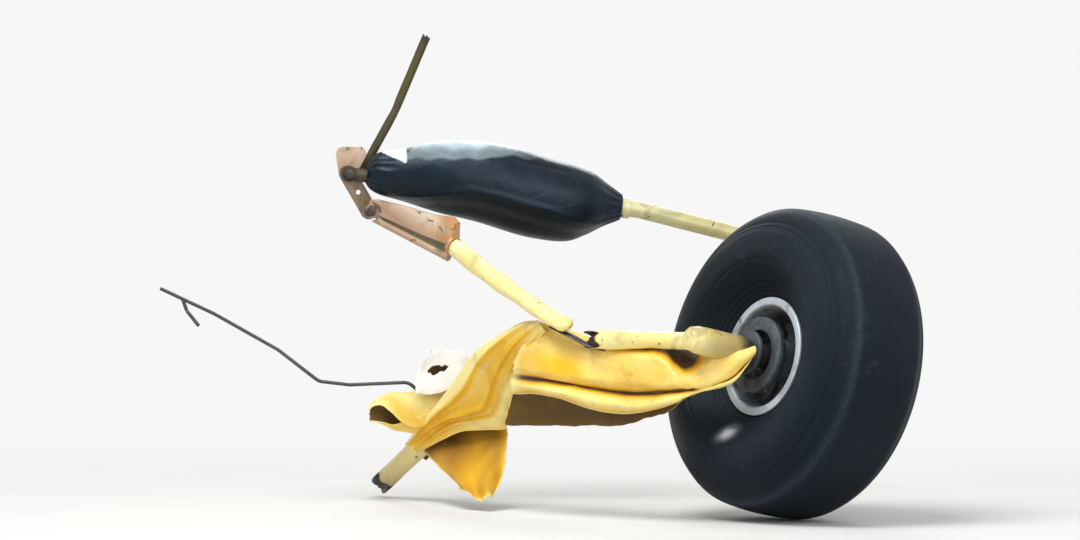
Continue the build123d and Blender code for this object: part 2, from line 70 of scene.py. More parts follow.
def at(u, v, away):
    """The point that the photograph shows at a pixel, at a depth beyond the wheel centre."""
    scale = (EYE_DISTANCE + away) / FOCAL
    return GROUND + RIGHT * (u - WHEEL_U) * scale + AWAY * away + UP * (EYE_HEIGHT - (v - LEVEL_V) * scale)


# Places of the leg, the strut and the bracket, as in the CAD model
FRONT_START = WHEEL - OUT * 0.19
FRONT_TOP = place(-0.496, -0.318, 0.429)
REAR_START = WHEEL - OUT * 0.13
REAR_UNDER = place(-0.06, -0.215, 0.229)
REAR_KINK = place(-0.33, -0.262, 0.296)
REAR_KNEE = place(-0.7, -0.255, 0.07998)
REAR_END = REAR_KNEE + Vector((-0.10886, 0, -0.06541))
FRONT_R, REAR_R, TUBE_WALL = 0.014, 0.017, 0.0016
CABANE_BOLT = place(-0.684, -0.398, 0.545)
STRUT_RUN = Vector((0.475, 0.88, 0)).normalized()
NEAR = Vector((0.88, -0.475, 0)).normalized()
HINGE = CABANE_BOLT + STRUT_RUN * 0.036 - UP * 0.062
STRUT_DIP = radians(7.3)
STRUT = STRUT_RUN * cos(STRUT_DIP) - UP * sin(STRUT_DIP)


# Materials, by their slots
MATERIALS = {}


def rgb(code):
    """A colour from its six-figure code, as linear light."""
    parts = [int(code[i : i + 2], 16) / 255 for i in (0, 2, 4)]
    return [c / 12.92 if c <= 0.04045 else ((c + 0.055) / 1.055) ** 2.4 for c in parts] + [1.0]


class Nodes:
    """A node tree, filled in code."""

    def __init__(self, tree):
        self.tree = tree

    def fill(self, node, entries):
        """Gives a node's inputs their values, or links them to other nodes' outputs."""
        for key, entry in entries.items():
            if isinstance(entry, bpy.types.NodeSocket):
                self.tree.links.new(entry, node.inputs[key])
            else:
                node.inputs[key].default_value = entry

    def node(self, kind, entries=None, **settings):
        made = self.tree.nodes.new("ShaderNode" + kind)
        for key, value in settings.items():
            setattr(made, key, value)
        self.fill(made, entries or {})
        return made

    def math(self, operation, a, b):
        return self.node("Math", {0: a, 1: b}, operation=operation).outputs["Value"]

    def seen_directly(self):
        """One for rays from the camera or off something shiny."""
        rays = self.node("LightPath").outputs
        return self.math("MAXIMUM", rays["Is Camera Ray"], rays["Is Glossy Ray"])


class Shade(Nodes):
    """A procedural material and the few kinds of node that it is made of."""

    def __init__(self, name, metallic=0.0, coat=0.0, sheen=0.0, specular=0.5):
        self.name = name
        self.material = bpy.data.materials.new(name)
        self.material.use_nodes = True
        super().__init__(self.material.node_tree)
        self.shader = self.tree.nodes["Principled BSDF"]
        self.fill(self.shader, {
            "Metallic": metallic, "Coat Weight": coat, "Coat Roughness": 0.25, "Sheen Weight": sheen,
            "Specular IOR Level": specular,
        })
        self.where = self.node("TexCoord").outputs["Object"]
        self.normal = None

    def noise(self, scale, detail, stretch=None, distortion=0.0):
        where = self.where
        if stretch:
            where = self.node("Mapping", {"Vector": where, "Scale": stretch}).outputs["Vector"]
        entries = {"Vector": where, "Scale": scale, "Detail": detail, "Distortion": distortion}
        return self.node("TexNoise", entries).outputs["Fac"]

    def cells(self, scale, feature="F1"):
        entries = {"Vector": self.where, "Scale": scale}
        return self.node("TexVoronoi", entries, feature=feature).outputs["Distance"]

    def waves(self, scale, direction):
        entries = {"Vector": self.where, "Scale": scale}
        return self.node("TexWave", entries, bands_direction=direction).outputs["Fac"]

    def mask(self, name):
        return self.node("Attribute", attribute_name=name).outputs["Fac"]

    def span(self, value, low, high, to_low=0.0, to_high=1.0):
        entries = {"Value": value, "From Min": low, "From Max": high, "To Min": to_low, "To Max": to_high}
        return self.node("MapRange", entries, clamp=True).outputs["Result"]

    def mix(self, amount, a, b):
        self.colour = self.node("Mix", {0: amount, 6: a, 7: b}, data_type="RGBA").outputs[2]

    def base(self, amount, first, second):
        """Begins the colour as a mix of two."""
        self.mix(amount, rgb(first), rgb(second))

    def over(self, amount, code):
        """Lays one more over it."""
        self.mix(amount, self.colour, rgb(code))

    def bump(self, height, distance, strength):
        entries = {"Distance": distance, "Strength": strength, "Height": height}
        if self.normal:
            entries["Normal"] = self.normal
        self.normal = self.node("Bump", entries).outputs["Normal"]

    def done(self, roughness):
        entries = {"Base Color": self.colour, "Roughness": roughness}
        if self.normal:
            entries["Normal"] = self.normal
        self.fill(self.shader, entries)
        MATERIALS[self.name] = self.material


def rubber():
    """Worn black rubber: scuffs, and where masked dust, a painted highlight on the shoulder ridge and a pale spot.
    """
    s = Shade("tyre_rubber", specular=0.2)
    s.fill(s.shader, {"Specular Tint": (0.7, 0.87, 1.0, 1.0)})
    blotch = s.noise(7, 6)
    fine = s.noise(160, 5)
    s.base(s.span(blotch, 0.35, 0.7), "050a10", "0b131c")
    dust = s.math("MULTIPLY", s.mask("dust"), s.span(fine, 0.3, 0.75, 0.4, 0.9))
    s.over(dust, "35414c")
    scuffs = s.span(s.noise(28, 8, distortion=1.5), 0.62, 0.74, 0.0, 0.25)
    s.over(scuffs, "3b4044")
    pale_spot = s.math("MULTIPLY", s.mask("pale_spot"), s.span(s.noise(60, 6), 0.2, 0.5, 0.3, 1.0))
    s.over(pale_spot, "dde2e3")
    s.bump(s.noise(900, 3), 0.0004, 0.5)
    s.bump(s.noise(60, 8), 0.0012, 0.35)
    s.done(s.span(blotch, 0.3, 0.7, 0.5, 0.72))


def metal(name, base, worn, dirt, rough, metallic, dirty):
    """Bare metal: worn bright patches, grime in blotches, painted shade where masked, a fine grain."""
    s = Shade(name, metallic=metallic)
    patches = s.noise(22, 7, distortion=0.6)
    s.base(s.span(patches, 0.35, 0.7), base, worn)
    grime = s.span(s.noise(34, 9, distortion=1.0), 0.62 - 0.2 * dirty, 0.78 - 0.1 * dirty, 0.0, 0.9)
    s.over(grime, dirt)
    shade_and_soot = s.mask("shade_and_soot")
    s.over(shade_and_soot, "1b2025")
    s.bump(s.noise(400, 4), 0.0004, 0.6)
    s.bump(patches, 0.0008, 0.3)
    s.fill(s.shader, {"Metallic": s.span(shade_and_soot, 0.0, 1.0, metallic, 0.15)})
    s.done(s.math("MAXIMUM", s.span(grime, 0.0, 0.9, rough, 0.8), s.math("MULTIPLY", shade_and_soot, 0.6)))


def paint(name, base, faded, primer, steel, rough=0.34, chipped=0.5, coat=0.25, zones=()):
    """Old gloss paint: fading, coloured zones where masked (among them painted shade and a painted highlight),
    grime, chips down to primer and steel, long scratches, and near black where masked for painted shade and for
    soot."""
    s = Shade(name, coat=coat)
    fade = s.noise(9, 5, distortion=0.4)
    s.base(s.span(fade, 0.38, 0.66), base, faded)
    for zone, code in zones:
        s.over(s.mask(zone), code)
    stain = s.span(s.noise(17, 9, distortion=1.2), 0.52, 0.75, 0.0, 0.45)
    s.over(stain, "4a3a22")
    chips = s.noise(75, 9, distortion=0.8)
    edge = 0.69 - 0.08 * chipped
    s.over(s.span(chips, edge, edge + 0.01), primer)
    s.over(s.span(chips, edge + 0.03, edge + 0.04), steel)
    lines = s.noise(14, 2, stretch=(30, 30, 2.2), distortion=0.5)
    scratch = s.math("MULTIPLY", s.span(lines, 0.7, 0.72), s.span(s.noise(6, 3), 0.5, 0.6))
    s.over(scratch, primer)
    s.over(s.mask("shade_and_soot"), "1a120a")
    s.bump(s.span(chips, edge - 0.01, edge + 0.02, 1.0, 0.0), 0.0004, 0.6)
    s.bump(s.noise(240, 4), 0.0003, 0.35)
    s.done(s.span(chips, edge - 0.02, edge + 0.02, rough, 0.62))


def cloth(name, deep, mid, pale, stain, rough=0.5):
    """Doped aircraft cloth: painted light and shade along its folds, stains, a fine weave, cracks in the dope."""
    s = Shade(name, sheen=0.04, coat=0.04, specular=0.3)
    # Painted light and shade: deep, mid and pale are shaded, middle and lit copies of the cloth, and the mask picks
    # among them, down to near black-brown where the painted shade is deepest; a random tone is added.
    light_and_tone = s.math("ADD", s.mask("light_and_tone"), s.span(s.noise(11, 6, distortion=0.8), 0.3, 0.7, -0.13, 0.13))
    s.base(s.span(light_and_tone, 0.0, 0.5), deep, mid)
    s.over(s.span(light_and_tone, 0.5, 1.0), pale)
    s.over(s.span(light_and_tone, -0.5, 0.0, 1.0, 0.0), "3c2204")
    s.over(s.span(s.noise(15, 9, distortion=1.4), 0.55, 0.8, 0.0, 0.4), stain)
    cracks = s.span(s.cells(60, "DISTANCE_TO_EDGE"), 0.0, 0.035, 1.0, 0.0)
    cracks = s.math("MULTIPLY", cracks, s.span(s.noise(8, 3), 0.52, 0.66, 0.0, 0.35))
    s.over(cracks, stain)
    s.over(s.mask("fray"), pale)
    threads = s.math("MULTIPLY", s.waves(520, "X"), s.waves(520, "Z"))
    s.bump(threads, 0.0002, 0.4)
    s.bump(s.noise(55, 7, distortion=0.5), 0.0016, 0.5)
    s.done(rough)


def vinyl():
    """Black coated cloth: dust, and where masked painted shade underneath with a dark split, a painted reflection
    along its top and a pale patch.
    """
    s = Shade("boot_vinyl", coat=0.04, specular=0.28)
    s.fill(s.shader, {"Specular Tint": (0.62, 0.82, 1.0, 1.0), "Coat Roughness": 0.3})
    cloud = s.noise(9, 6, distortion=0.5)
    s.base(s.span(cloud, 0.35, 0.7), "060e17", "0b1824")
    dust = s.span(s.noise(40, 9, distortion=1.0), 0.5, 0.8, 0.0, 0.3)
    s.over(dust, "27333f")
    s.over(s.mask("shaded_underside_and_split"), "020305")
    # Painted reflection along the top
    sheen = s.math("MULTIPLY", s.mask("sheen"), s.span(s.noise(26, 5, stretch=(1, 1, 2)), 0.3, 0.6, 0.6, 1.0))
    s.over(sheen, "c0d3da")
    s.over(s.mask("pale_patch"), "eef0ec")
    s.bump(s.cells(420), 0.0004, 0.5)
    s.bump(s.noise(35, 6, distortion=1.0), 0.003, 0.5)
    s.done(s.span(dust, 0.0, 0.4, 0.36, 0.6))


rubber()
metal("wheel_alloy", "b4bec7", "d3dbe2", "666b72", rough=0.5, metallic=0.45, dirty=0.25)
metal("brake_steel", "474d53", "666c71", "33302d", rough=0.5, metallic=0.6, dirty=0.5)
metal("fastener_steel", "2f2a20", "4c4334", "241d12", rough=0.5, metallic=0.5, dirty=0.5)
metal("axle_steel", "3c3b3a", "5d5a56", "221d18", rough=0.45, metallic=0.7, dirty=0.6)
paint("yellow_paint", "f2dd84", "f9edac", "b8a27a", "5a554c", zones=(("tan", "ae9260"),))
paint("strut_paint", "c2ba80", "d6cf9e", "9c9272", "57534a", chipped=0.6)
# On the primer, the olive zone is painted shade, the pale zone a painted highlight, the warm zone its own tone
paint(
    "primer_paint", "a98970", "bb9e82", "8b7c52", "5f5a48", rough=0.45, chipped=0.8,
    zones=(("olive_shade", "6f6444"), ("warm", "c98d52"), ("pale", "e8d9c2")),
)
paint("bracket_paint", "241a10", "352818", "4d3419", "2c2925", rough=0.42, chipped=0.8)
paint("cabane_paint", "322d08", "453f10", "5c4018", "33312a", rough=0.6, chipped=0.6, coat=0.0)
paint("pipe_metal", "303236", "46494e", "5a4836", "6b6c6e", rough=0.5, chipped=0.4)
vinyl()
cloth("yellow_fabric", "b88212", "f0bb1c", "ffefa0", "9c7020")
# The cloth's back: a dark brown copy of the cloth, painted shade
cloth("shaded_cloth_back", "2a1a08", "4b3513", "775a28", "1c1206", rough=0.75)
cloth("white_fabric", "dcd7c6", "f4f3ee", "fcfcfa", "c9bd94", rough=0.7)


# Meshes
LOWEST = 0.0003


def masked(mesh, masks):
    for mask, values in masks.items():
        mesh.attributes.new(mask, "FLOAT", "POINT").data.foreach_set("value", values)


def linked(name, data):
    """A new object in the scene."""
    made = bpy.data.objects.new(name, data)
    bpy.context.scene.collection.objects.link(made)
    return made


def finished(name, mesh, body, replaced):
    """A smooth object on its body, in place of a node."""
    mesh.polygons.foreach_set("use_smooth", [True] * len(mesh.polygons))
    made = linked(name, mesh)
    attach(made, body)
    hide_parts(replaced)
    return made


def piece(name, points, faces, body, slot, replaced, masks, backs=None):
    """A piece from its mesh. Masks are numbers for each point, backs says which faces show the cloth's back."""
    mesh = bpy.data.meshes.new(name)
    mesh.from_pydata([(p.x, p.y, max(p.z, LOWEST)) for p in points], [], faces)
    masked(mesh, masks)
    mesh.materials.append(MATERIALS[slot])
    # Back faces get the cloth's dark brown back, painted shade
    if backs:
        mesh.materials.append(MATERIALS["shaded_cloth_back"])
        mesh.polygons.foreach_set("material_index", backs)
    work = bmesh.new()
    work.from_mesh(mesh)
    bmesh.ops.recalc_face_normals(work, faces=work.faces)
    work.to_mesh(mesh)
    work.free()
    return finished(name, mesh, body, replaced)


def grid_faces(rows, columns, wrap=True, loop=False):
    """Faces over a grid of points, each row closed into a ring if wrapped, and the last row joined to the first
    if looped."""
    faces = []
    for r in range(rows if loop else rows - 1):
        for c in range(columns if wrap else columns - 1):
            below, beside = (r + 1) % rows, (c + 1) % columns
            faces.append((r * columns + c, r * columns + beside, below * columns + beside, below * columns + c))
    return faces


def capped(rows, columns):
    """Faces over a grid with closed rows, its first and last row closed by a face each."""
    last = (rows - 1) * columns
    return grid_faces(rows, columns) + [tuple(range(columns)), tuple(range(last, last + columns))]


def spline(points, count):
    """Points along a smooth curve through the given ones, evenly spaced in its parameter."""
    ends = [points[0] * 2 - points[1]] + list(points) + [points[-1] * 2 - points[-2]]
    spans = len(points) - 1
    made = []
    for k in range(count):
        place_on = k * spans / (count - 1)
        i = min(int(place_on), spans - 1)
        t = place_on - i
        a, b, c, d = ends[i : i + 4]
        made.append(
            0.5 * (2 * b + (c - a) * t + (2 * a - 5 * b + 4 * c - d) * t**2 + (3 * b - a - 3 * c + d) * t**3)
        )
    return made


def rounded(points, radius, step=0.004):
    """A path along straight runs with round corners, in even steps."""
    made = [points[0]]
    for before, corner, after in zip(points, points[1:], points[2:]):
        back, on = (before - corner).normalized(), (after - corner).normalized()
        for k in range(9):
            t = k / 8
            made.append(corner + back * radius * (1 - t) ** 2 + on * radius * t**2)
    made.append(points[-1])
    even = [made[0]]
    for a, b in zip(made, made[1:]):
        pieces = max(1, round((b - a).length / step))
        even += [a.lerp(b, (k + 1) / pieces) for k in range(pieces)]
    return even


def frames(path):
    """At each point of a path: how far along it is, its direction, and two square directions."""
    made, far = [], 0.0
    side = UP
    for i, point in enumerate(path):
        along = (path[min(i + 1, len(path) - 1)] - path[max(i - 1, 0)]).normalized()
        side = (side - along * side.dot(along)).normalized()
        if i:
            far += (point - path[i - 1]).length
        made.append((far, point, along, side, along.cross(side)))
    return made


def bell(x, width):
    """One at zero, falling off smoothly over a width."""
    return exp(-((x / width) ** 2))


def ripple(x, y, z):
    return noise.noise(Vector((x, y, z)))


def clipped(x):
    return min(1.0, max(0.0, x))


def seen(point):
    """Where the photograph shows a point, in pixels."""
    arm = point - GROUND
    scale = (EYE_DISTANCE + arm.dot(AWAY)) / FOCAL
    return WHEEL_U + arm.dot(RIGHT) / scale, LEVEL_V + (EYE_HEIGHT - arm.z) / scale


def tube(path, radius, wall, steps=40, flat=(), dents=(), jag=0.0, rough=0.0004, seed=0.0, closed=0.0, bite=None):
    """Points, faces and darkening of a hollow tube, with painted shade over its inner wall and a darker torn end:
    flat places (at, width, share, angle), dents (at, angle, width, depth), and a far end that is torn jag deep,
    rounded shut over a length, or torn back on one side by a bite (direction, depth, how far towards that direction
    it begins)."""
    rings = []
    run = frames(path)
    total = run[-1][0]
    for far, point, along, side, across in run:
        ring = []
        left = total - far
        for k in range(steps):
            angle = 2 * pi * k / steps
            r = radius + rough * ripple(far * 60 + seed, cos(angle) * 2, sin(angle) * 2)
            for where, facing, width, depth in dents:
                turn = (angle - facing + pi) % (2 * pi) - pi
                r -= depth * bell(far - where, width) * bell(turn * radius, width)
            if left < closed:
                r *= sqrt(max(0.02, 1 - (1 - left / closed) ** 2))
            x, y = r * cos(angle), r * sin(angle)
            for where, width, share, facing in flat:
                amount = share * bell(far - where, width)
                u, v = x * cos(facing) + y * sin(facing), -x * sin(facing) + y * cos(facing)
                u, v = u * (1 - amount), v * (1 + 0.45 * amount)
                x, y = u * cos(facing) - v * sin(facing), u * sin(facing) + v * cos(facing)
            tear = ripple(cos(angle) * 1.8 + seed, sin(angle) * 1.8, 3.0)
            tear += 0.5 * ripple(cos(angle) * 5 + seed, sin(angle) * 5, 7.0)
            reach = tear * jag * bell(left, 0.02)
            if bite:
                turn = (side * cos(angle) + across * sin(angle)).dot(bite[0])
                reach -= bite[1] * max(0.0, 1 - left / (1.6 * bite[1])) / (1 + exp(-7 * (turn - bite[2])))
            ring.append((point + side * x + across * y + along * reach, point + along * reach, r))
        rings.append((ring, 0.85 * bell(left, 0.006) if jag else 0.0))
    points = [outer for ring, _ in rings for outer, _, _ in ring]
    points += [o.lerp(c, min(0.9, wall / r)) for ring, _ in reversed(rings) for o, c, r in ring]
    # Painted shade over the whole inner wall
    shade_and_soot = [dark for ring, dark in rings for _ in ring] + [1.0] * (len(rings) * steps)
    return points, grid_faces(2 * len(rings), steps, loop=True), shade_and_soot


def join(*parts):
    points, faces = [], []
    for part in parts:
        faces += [tuple(k + len(points) for k in face) for face in part[1]]
        points += part[0]
    return points, faces


def spoke(angle):
    """The way out from the axle, at an angle from the wheel's top."""
    return RISE * cos(angle) + OUT.cross(RISE) * sin(angle)


def turned(profile, steps, centre=WHEEL):
    """A closed profile of (radius, distance outboard) turned round the axle's direction."""
    points = []
    for k in range(steps):
        radial = spoke(2 * pi * k / steps)
        points += [centre + radial * r + OUT * w for r, w in profile]
    return points, grid_faces(steps, len(profile), loop=True)


def arc(a, b, c, count):
    """Points of the arc from a to c through b, in the plane."""
    (x1, y1), (x2, y2), (x3, y3) = a, b, c
    d = 2 * (x1 * (y2 - y3) + x2 * (y3 - y1) + x3 * (y1 - y2))
    s1, s2, s3 = x1**2 + y1**2, x2**2 + y2**2, x3**2 + y3**2
    cx = (s1 * (y2 - y3) + s2 * (y3 - y1) + s3 * (y1 - y2)) / d
    cy = (s1 * (x3 - x2) + s2 * (x1 - x3) + s3 * (x2 - x1)) / d
    start, end = atan2(y1 - cy, x1 - cx), atan2(y3 - cy, x3 - cx)
    middle = atan2(y2 - cy, x2 - cx)
    turn = (end - start) % (2 * pi)
    if (middle - start) % (2 * pi) > turn:
        turn -= 2 * pi
    r = sqrt((x1 - cx) ** 2 + (y1 - cy) ** 2)
    angles = [start + turn * k / count for k in range(count + 1)]
    return [(cx + r * cos(angle), cy + r * sin(angle)) for angle in angles]


def soften(profile, radius):
    """A closed profile with its corners rounded."""
    made = []
    for i, corner in enumerate(profile):
        corner = Vector(corner)
        before, after = Vector(profile[i - 1]), Vector(profile[(i + 1) % len(profile)])
        r = min(radius, 0.45 * (before - corner).length, 0.45 * (after - corner).length)
        back, on = (before - corner).normalized() * r, (after - corner).normalized() * r
        made += [tuple(corner + back * (1 - share) ** 2 + on * share**2) for share in (0, 1 / 3, 2 / 3, 1)]
    return made


# Tyre, as (radius, distance from its middle): crown, shoulder, widest place, rim, bead and the tread's edge
TYRE_R, CROWN_W, CROWN_DROP, SHOULDER_R = 0.2475, 0.052, 0.003, 0.045
SIDE_R, SIDE_W = 0.1655, 0.108
RIM_R, BEAD = 0.097, (0.099, 0.064)
TREAD_EDGE_W = 0.063
CROWN_ARC_R = (CROWN_W**2 + CROWN_DROP**2) / (2 * CROWN_DROP)
CROWN_EDGE, SHOULDER_END = asin(CROWN_W / CROWN_ARC_R), radians(72)
SHOULDER_AT = (TYRE_R - CROWN_DROP - SHOULDER_R * cos(CROWN_EDGE), CROWN_W - SHOULDER_R * sin(CROWN_EDGE))
# Below its widest point the wall follows these guide points, flat enough for the rim's ring to show beside it
WALL = ((SIDE_R, SIDE_W), (0.15, 0.108), (0.128, 0.0855), BEAD)
INSIDE = [
    (0.098, 0.06), (0.09, 0.058), (0.09, 0.044), (0.109, 0.052), (0.13, 0.083), (0.1655, 0.099), (0.2, 0.09),
    (0.2295, 0.052),
]
# Rings sunk in the shoulder and the wall: radius, width and depth
RINGS = (
    (0.206, 0.0022, 0.0012), (0.2015, 0.0012, 0.0009), (0.152, 0.0016, 0.001), (0.118, 0.0016, 0.0011),
    (0.112, 0.0016, 0.0011), (0.106, 0.0016, 0.0011),
)
SHOULDER_STEPS, WALL_STEPS, TYRE_STEPS = 24, 60, 220


def ring_relief(r, w):
    """How far the rings and the shoulder's step sink below the plain outline."""
    sink = 0.0
    for centre, width, depth in RINGS:
        sink += depth * bell(r - centre, width)
    if abs(w) < 0.09:
        sink += 0.0016 / (1 + exp(-(abs(w) - TREAD_EDGE_W) / 0.0011)) * (r > 0.21)
    return sink


half = [(TYRE_R - CROWN_DROP * (w / CROWN_W) ** 2, w) for w in (0, 0.012, 0.024, 0.036, 0.046)]
for k in range(SHOULDER_STEPS + 1):
    angle = CROWN_EDGE + (SHOULDER_END - CROWN_EDGE) * k / SHOULDER_STEPS
    half.append((SHOULDER_AT[0] + SHOULDER_R * cos(angle), SHOULDER_AT[1] + SHOULDER_R * sin(angle)))
half += [(r, w) for r, w in arc(half[-1], (SIDE_R, SIDE_W), BEAD, 90)[1:] if r > SIDE_R + 0.001]
for k in range(WALL_STEPS + 1):
    t = k / WALL_STEPS
    shares = ((1 - t) ** 3, 3 * t * (1 - t) ** 2, 3 * t**2 * (1 - t), t**3)
    half.append(tuple(sum(share * guide[i] for share, guide in zip(shares, WALL)) for i in (0, 1)))
sunk = []
for i, (r, w) in enumerate(half):
    before, after = half[max(i - 1, 0)], half[min(i + 1, len(half) - 1)]
    slope = Vector((after[0] - before[0], after[1] - before[1])).normalized()
    sink = ring_relief(r, w)
    sunk.append((r - sink * slope.y, w + sink * slope.x))
one_side = sunk + INSIDE
profile = one_side + [(r, -w) for r, w in reversed(one_side[1:])]
points, faces = turned(profile, TYRE_STEPS)
pale_spot_at = at(630, 437.2, -0.115)
dust, pale_spot = [], []
for point in points:
    arm = point - WHEEL
    w = arm.dot(OUT)
    r = (arm - OUT * w).length
    # Dust on the wall and tread; along the shoulder ridge at the tread's edge the mask is a painted highlight
    edge = bell(abs(w) - TREAD_EDGE_W, 0.007) * (r > 0.2)
    wall = 0.35 * bell(r - 0.165, 0.03) + 0.25 * bell(r - 0.11, 0.02)
    patch = 0.5 + 0.5 * noise.noise(point * 9)
    dust.append(min(1.0, 0.55 * edge + (wall + 0.18 * (abs(w) < TREAD_EDGE_W)) * patch))
    # A small pale spot on the wall
    right, high = (point - pale_spot_at).dot(RIGHT), (point - pale_spot_at).dot(UP)
    pale_spot.append(min(1.0, 1.15 * bell(right, 0.013) * bell(high - 0.45 * right, 0.0065)))
piece("tyre_worn", points, faces, "wheel", "tyre_rubber", "tyre", {"dust": dust, "pale_spot": pale_spot})

# Wheel halves, as (radius, distance from the wheel's middle): hub, web, drop centre and flange with a rolled lip,
# then a boss round each bolt, and a rib between bolts as (radius, half width, height)
WHEEL_LINE = [
    (0.027, 0.0), (0.027, 0.052), (0.031, 0.052), (0.034, 0.049), (0.034, 0.016), (0.0365, 0.01),
    (0.066, 0.01), (0.069, 0.013), (0.0745, 0.026), (0.08, 0.042), (0.081, 0.052), (0.0815, 0.062),
    (0.0845, 0.067), (0.0955, 0.067), (RIM_R, 0.0655), (RIM_R, 0.0615), (0.0905, 0.0595), (0.09, 0.042),
    (0.074, 0.011), (0.074, 0.0),
]
BOSS_LINE = [(0.0045, 0.0098), (0.0045, 0.0118), (0.0092, 0.0118), (0.0105, 0.0098)]
RIB = ((0.033, 0.0035, 0.024), (0.045, 0.003, 0.019), (0.06, 0.003, 0.018), (0.0745, 0.0038, 0.024))
RIB_ROOT, RIB_STEPS = 0.009, 10
BOLTS, BOLT_CIRCLE_R = 6, 0.052
# Within this radius the dish is painted dark, a painted shade
DISH_R = 0.0795
for name, side in (("wheel_half_inboard", -1), ("wheel_half_outboard", 1)):
    parts = [turned([(r, side * w) for r, w in soften(WHEEL_LINE, 0.0025)], 144)]
    boss = [(r, side * w) for r, w in soften(BOSS_LINE, 0.0008)]
    for k in range(BOLTS):
        angle = 2 * pi * k / BOLTS
        parts.append(turned(boss, 28, centre=WHEEL + spoke(angle) * BOLT_CIRCLE_R))
        radial = spoke(angle + pi / BOLTS)
        across = OUT.cross(radial)
        rib = []
        for r, w, h in RIB:
            section = ((-1.2, RIB_ROOT), (-1, h * 0.9), (-0.5, h), (0.5, h), (1, h * 0.9), (1.2, RIB_ROOT))
            rib.append([WHEEL + radial * r + across * s * w + OUT * side * d for s, d in section])
        rows = zip(*[spline(list(line), RIB_STEPS) for line in zip(*rib)])
        parts.append(([p for row in rows for p in row], capped(RIB_STEPS, len(section))))
    points, faces = join(*parts)
    arms = [p - WHEEL for p in points]
    inner = [0.85 / (1 + exp(((a - OUT * a.dot(OUT)).length - DISH_R) / 0.0006)) for a in arms]
    piece(name + "_cast", points, faces, "wheel", "wheel_alloy", name, {"shade_and_soot": inner})


# Machined and forged nodes keep their shape and get soft edges. Along the leg end fitting, painted shade darkens
# the recessed web olive, a painted highlight lightens its upper edge, its far end is warmer and it is darker round
# the hinge. On the cabane bracket, painted shade darkens the lower part olive and a painted highlight lightens its
# top.
FLAT_ANGLE, EDGE_ANGLE, SMOOTH_ANGLE = radians(1.5), radians(35), radians(40)
ARM = (FRONT_TOP - HINGE).normalized()
ARM_FACE = ARM.cross(UP).normalized()
ARM_UP = ARM_FACE.cross(ARM)


def on_web(point):
    arm = point - HINGE
    return 1.0 if abs(arm.dot(ARM_FACE)) < 0.004 and arm.dot(ARM) > 0.02 else 0.0


def warm_end(point):
    return bell((point - HINGE).dot(ARM) - 0.165, 0.035) * (1 - on_web(point))


def lit_upper_edge(point):
    arm = point - HINGE
    along, high = arm.dot(ARM), arm.dot(ARM_UP)
    return (0.8 if 0.03 < along < 0.13 and high > 0.027 else 0.0) * (1 - on_web(point))


def round_hinge(point):
    arm = point - HINGE
    return 0.9 if (arm - ARM_FACE * arm.dot(ARM_FACE)).length < 0.0125 else 0.0


NODE_MASKS = {
    "cabane_bracket": {
        "olive_shade": lambda point: 0.95 if -0.078 < (point - CABANE_BOLT).z < -0.008 else 0.0,
        "pale": lambda point: 0.15 if (point - CABANE_BOLT).z > 0.012 else 0.0,
    },
    "leg_end_fitting": {"olive_shade": on_web, "warm": warm_end, "pale": lit_upper_edge, "shade_and_soot": round_hinge},
}


def softened(node, body, slot, width):
    mesh = nodes[node].data.copy()
    mesh.name = node + "_soft"
    work = bmesh.new()
    work.from_mesh(mesh)
    bmesh.ops.remove_doubles(work, verts=work.verts, dist=1e-6)
    bmesh.ops.dissolve_limit(work, angle_limit=FLAT_ANGLE, verts=work.verts, edges=work.edges)
    sharp = [e for e in work.edges if len(e.link_faces) == 2 and e.calc_face_angle(0) > EDGE_ANGLE]
    bmesh.ops.bevel(work, geom=sharp, offset=width, segments=2, profile=0.6, affect="EDGES", clamp_overlap=True)
    bmesh.ops.recalc_face_normals(work, faces=work.faces)
    work.to_mesh(mesh)
    work.free()
    mesh.materials.clear()
    mesh.materials.append(MATERIALS[slot])
    mesh.polygons.foreach_set("material_index", [0] * len(mesh.polygons))
    masked(mesh, {mask: [value(v.co) for v in mesh.vertices] for mask, value in NODE_MASKS.get(node, {}).items()})
    finished(node + "_soft", mesh, body, node)
    mesh.set_sharp_from_angle(angle=SMOOTH_ANGLE)


for node, slot, width in (
    ("brake_caliper", "brake_steel", 0.003), ("torque_plate", "brake_steel", 0.001),
    ("axle_nut", "fastener_steel", 0.0015), ("wheel_bolts", "fastener_steel", 0.0012),
    ("brake_disc", "brake_steel", 0.0008), ("cabane_bracket", "primer_paint", 0.0008),
    ("cabane_bolt", "bracket_paint", 0.0012), ("hinge_bolt", "bracket_paint", 0.0012),
    ("strut_fork", "yellow_paint", 0.002), ("pipe_clip", "fastener_steel", 0.0005),
    ("leg_end_fitting", "primer_paint", 0.0012),
):
    softened(node, "wheel" if node in ("wheel_bolts", "brake_disc") else "root", slot, width)

# The rest keep their solids as they are
for node, slot in (
    ("bearing_inboard", "axle_steel"), ("bearing_outboard", "axle_steel"), ("axle", "axle_steel"),
    ("strut_upper_tube", "fastener_steel"), ("strut_lower_tube", "strut_paint"),
    ("boot_collar_lower", "strut_paint"), ("fitting_rod", "primer_paint"),
    ("brake_pipe", "pipe_metal"), ("pipe_hook", "pipe_metal"),
):
    nodes[node].data.materials.clear()
    nodes[node].data.materials.append(MATERIALS[slot])

# Socket at the point of the vee, as (radius, distance outboard): its inboard end forged round, with a weld bead at
# its mouth
socket_line = [
    (0.0193, -0.112), (0.0236, -0.112), (0.0243, -0.1145), (0.0236, -0.117), (0.023, -0.14), (0.023, -0.18),
    (0.0222, -0.2), (0.019, -0.213), (0.012, -0.219), (0.0012, -0.22), (0.0012, -0.2155), (0.0193, -0.2155),
]
points, faces = turned(soften(socket_line, 0.002), 96)
reach = [(p - WHEEL).dot(OUT) for p in points]
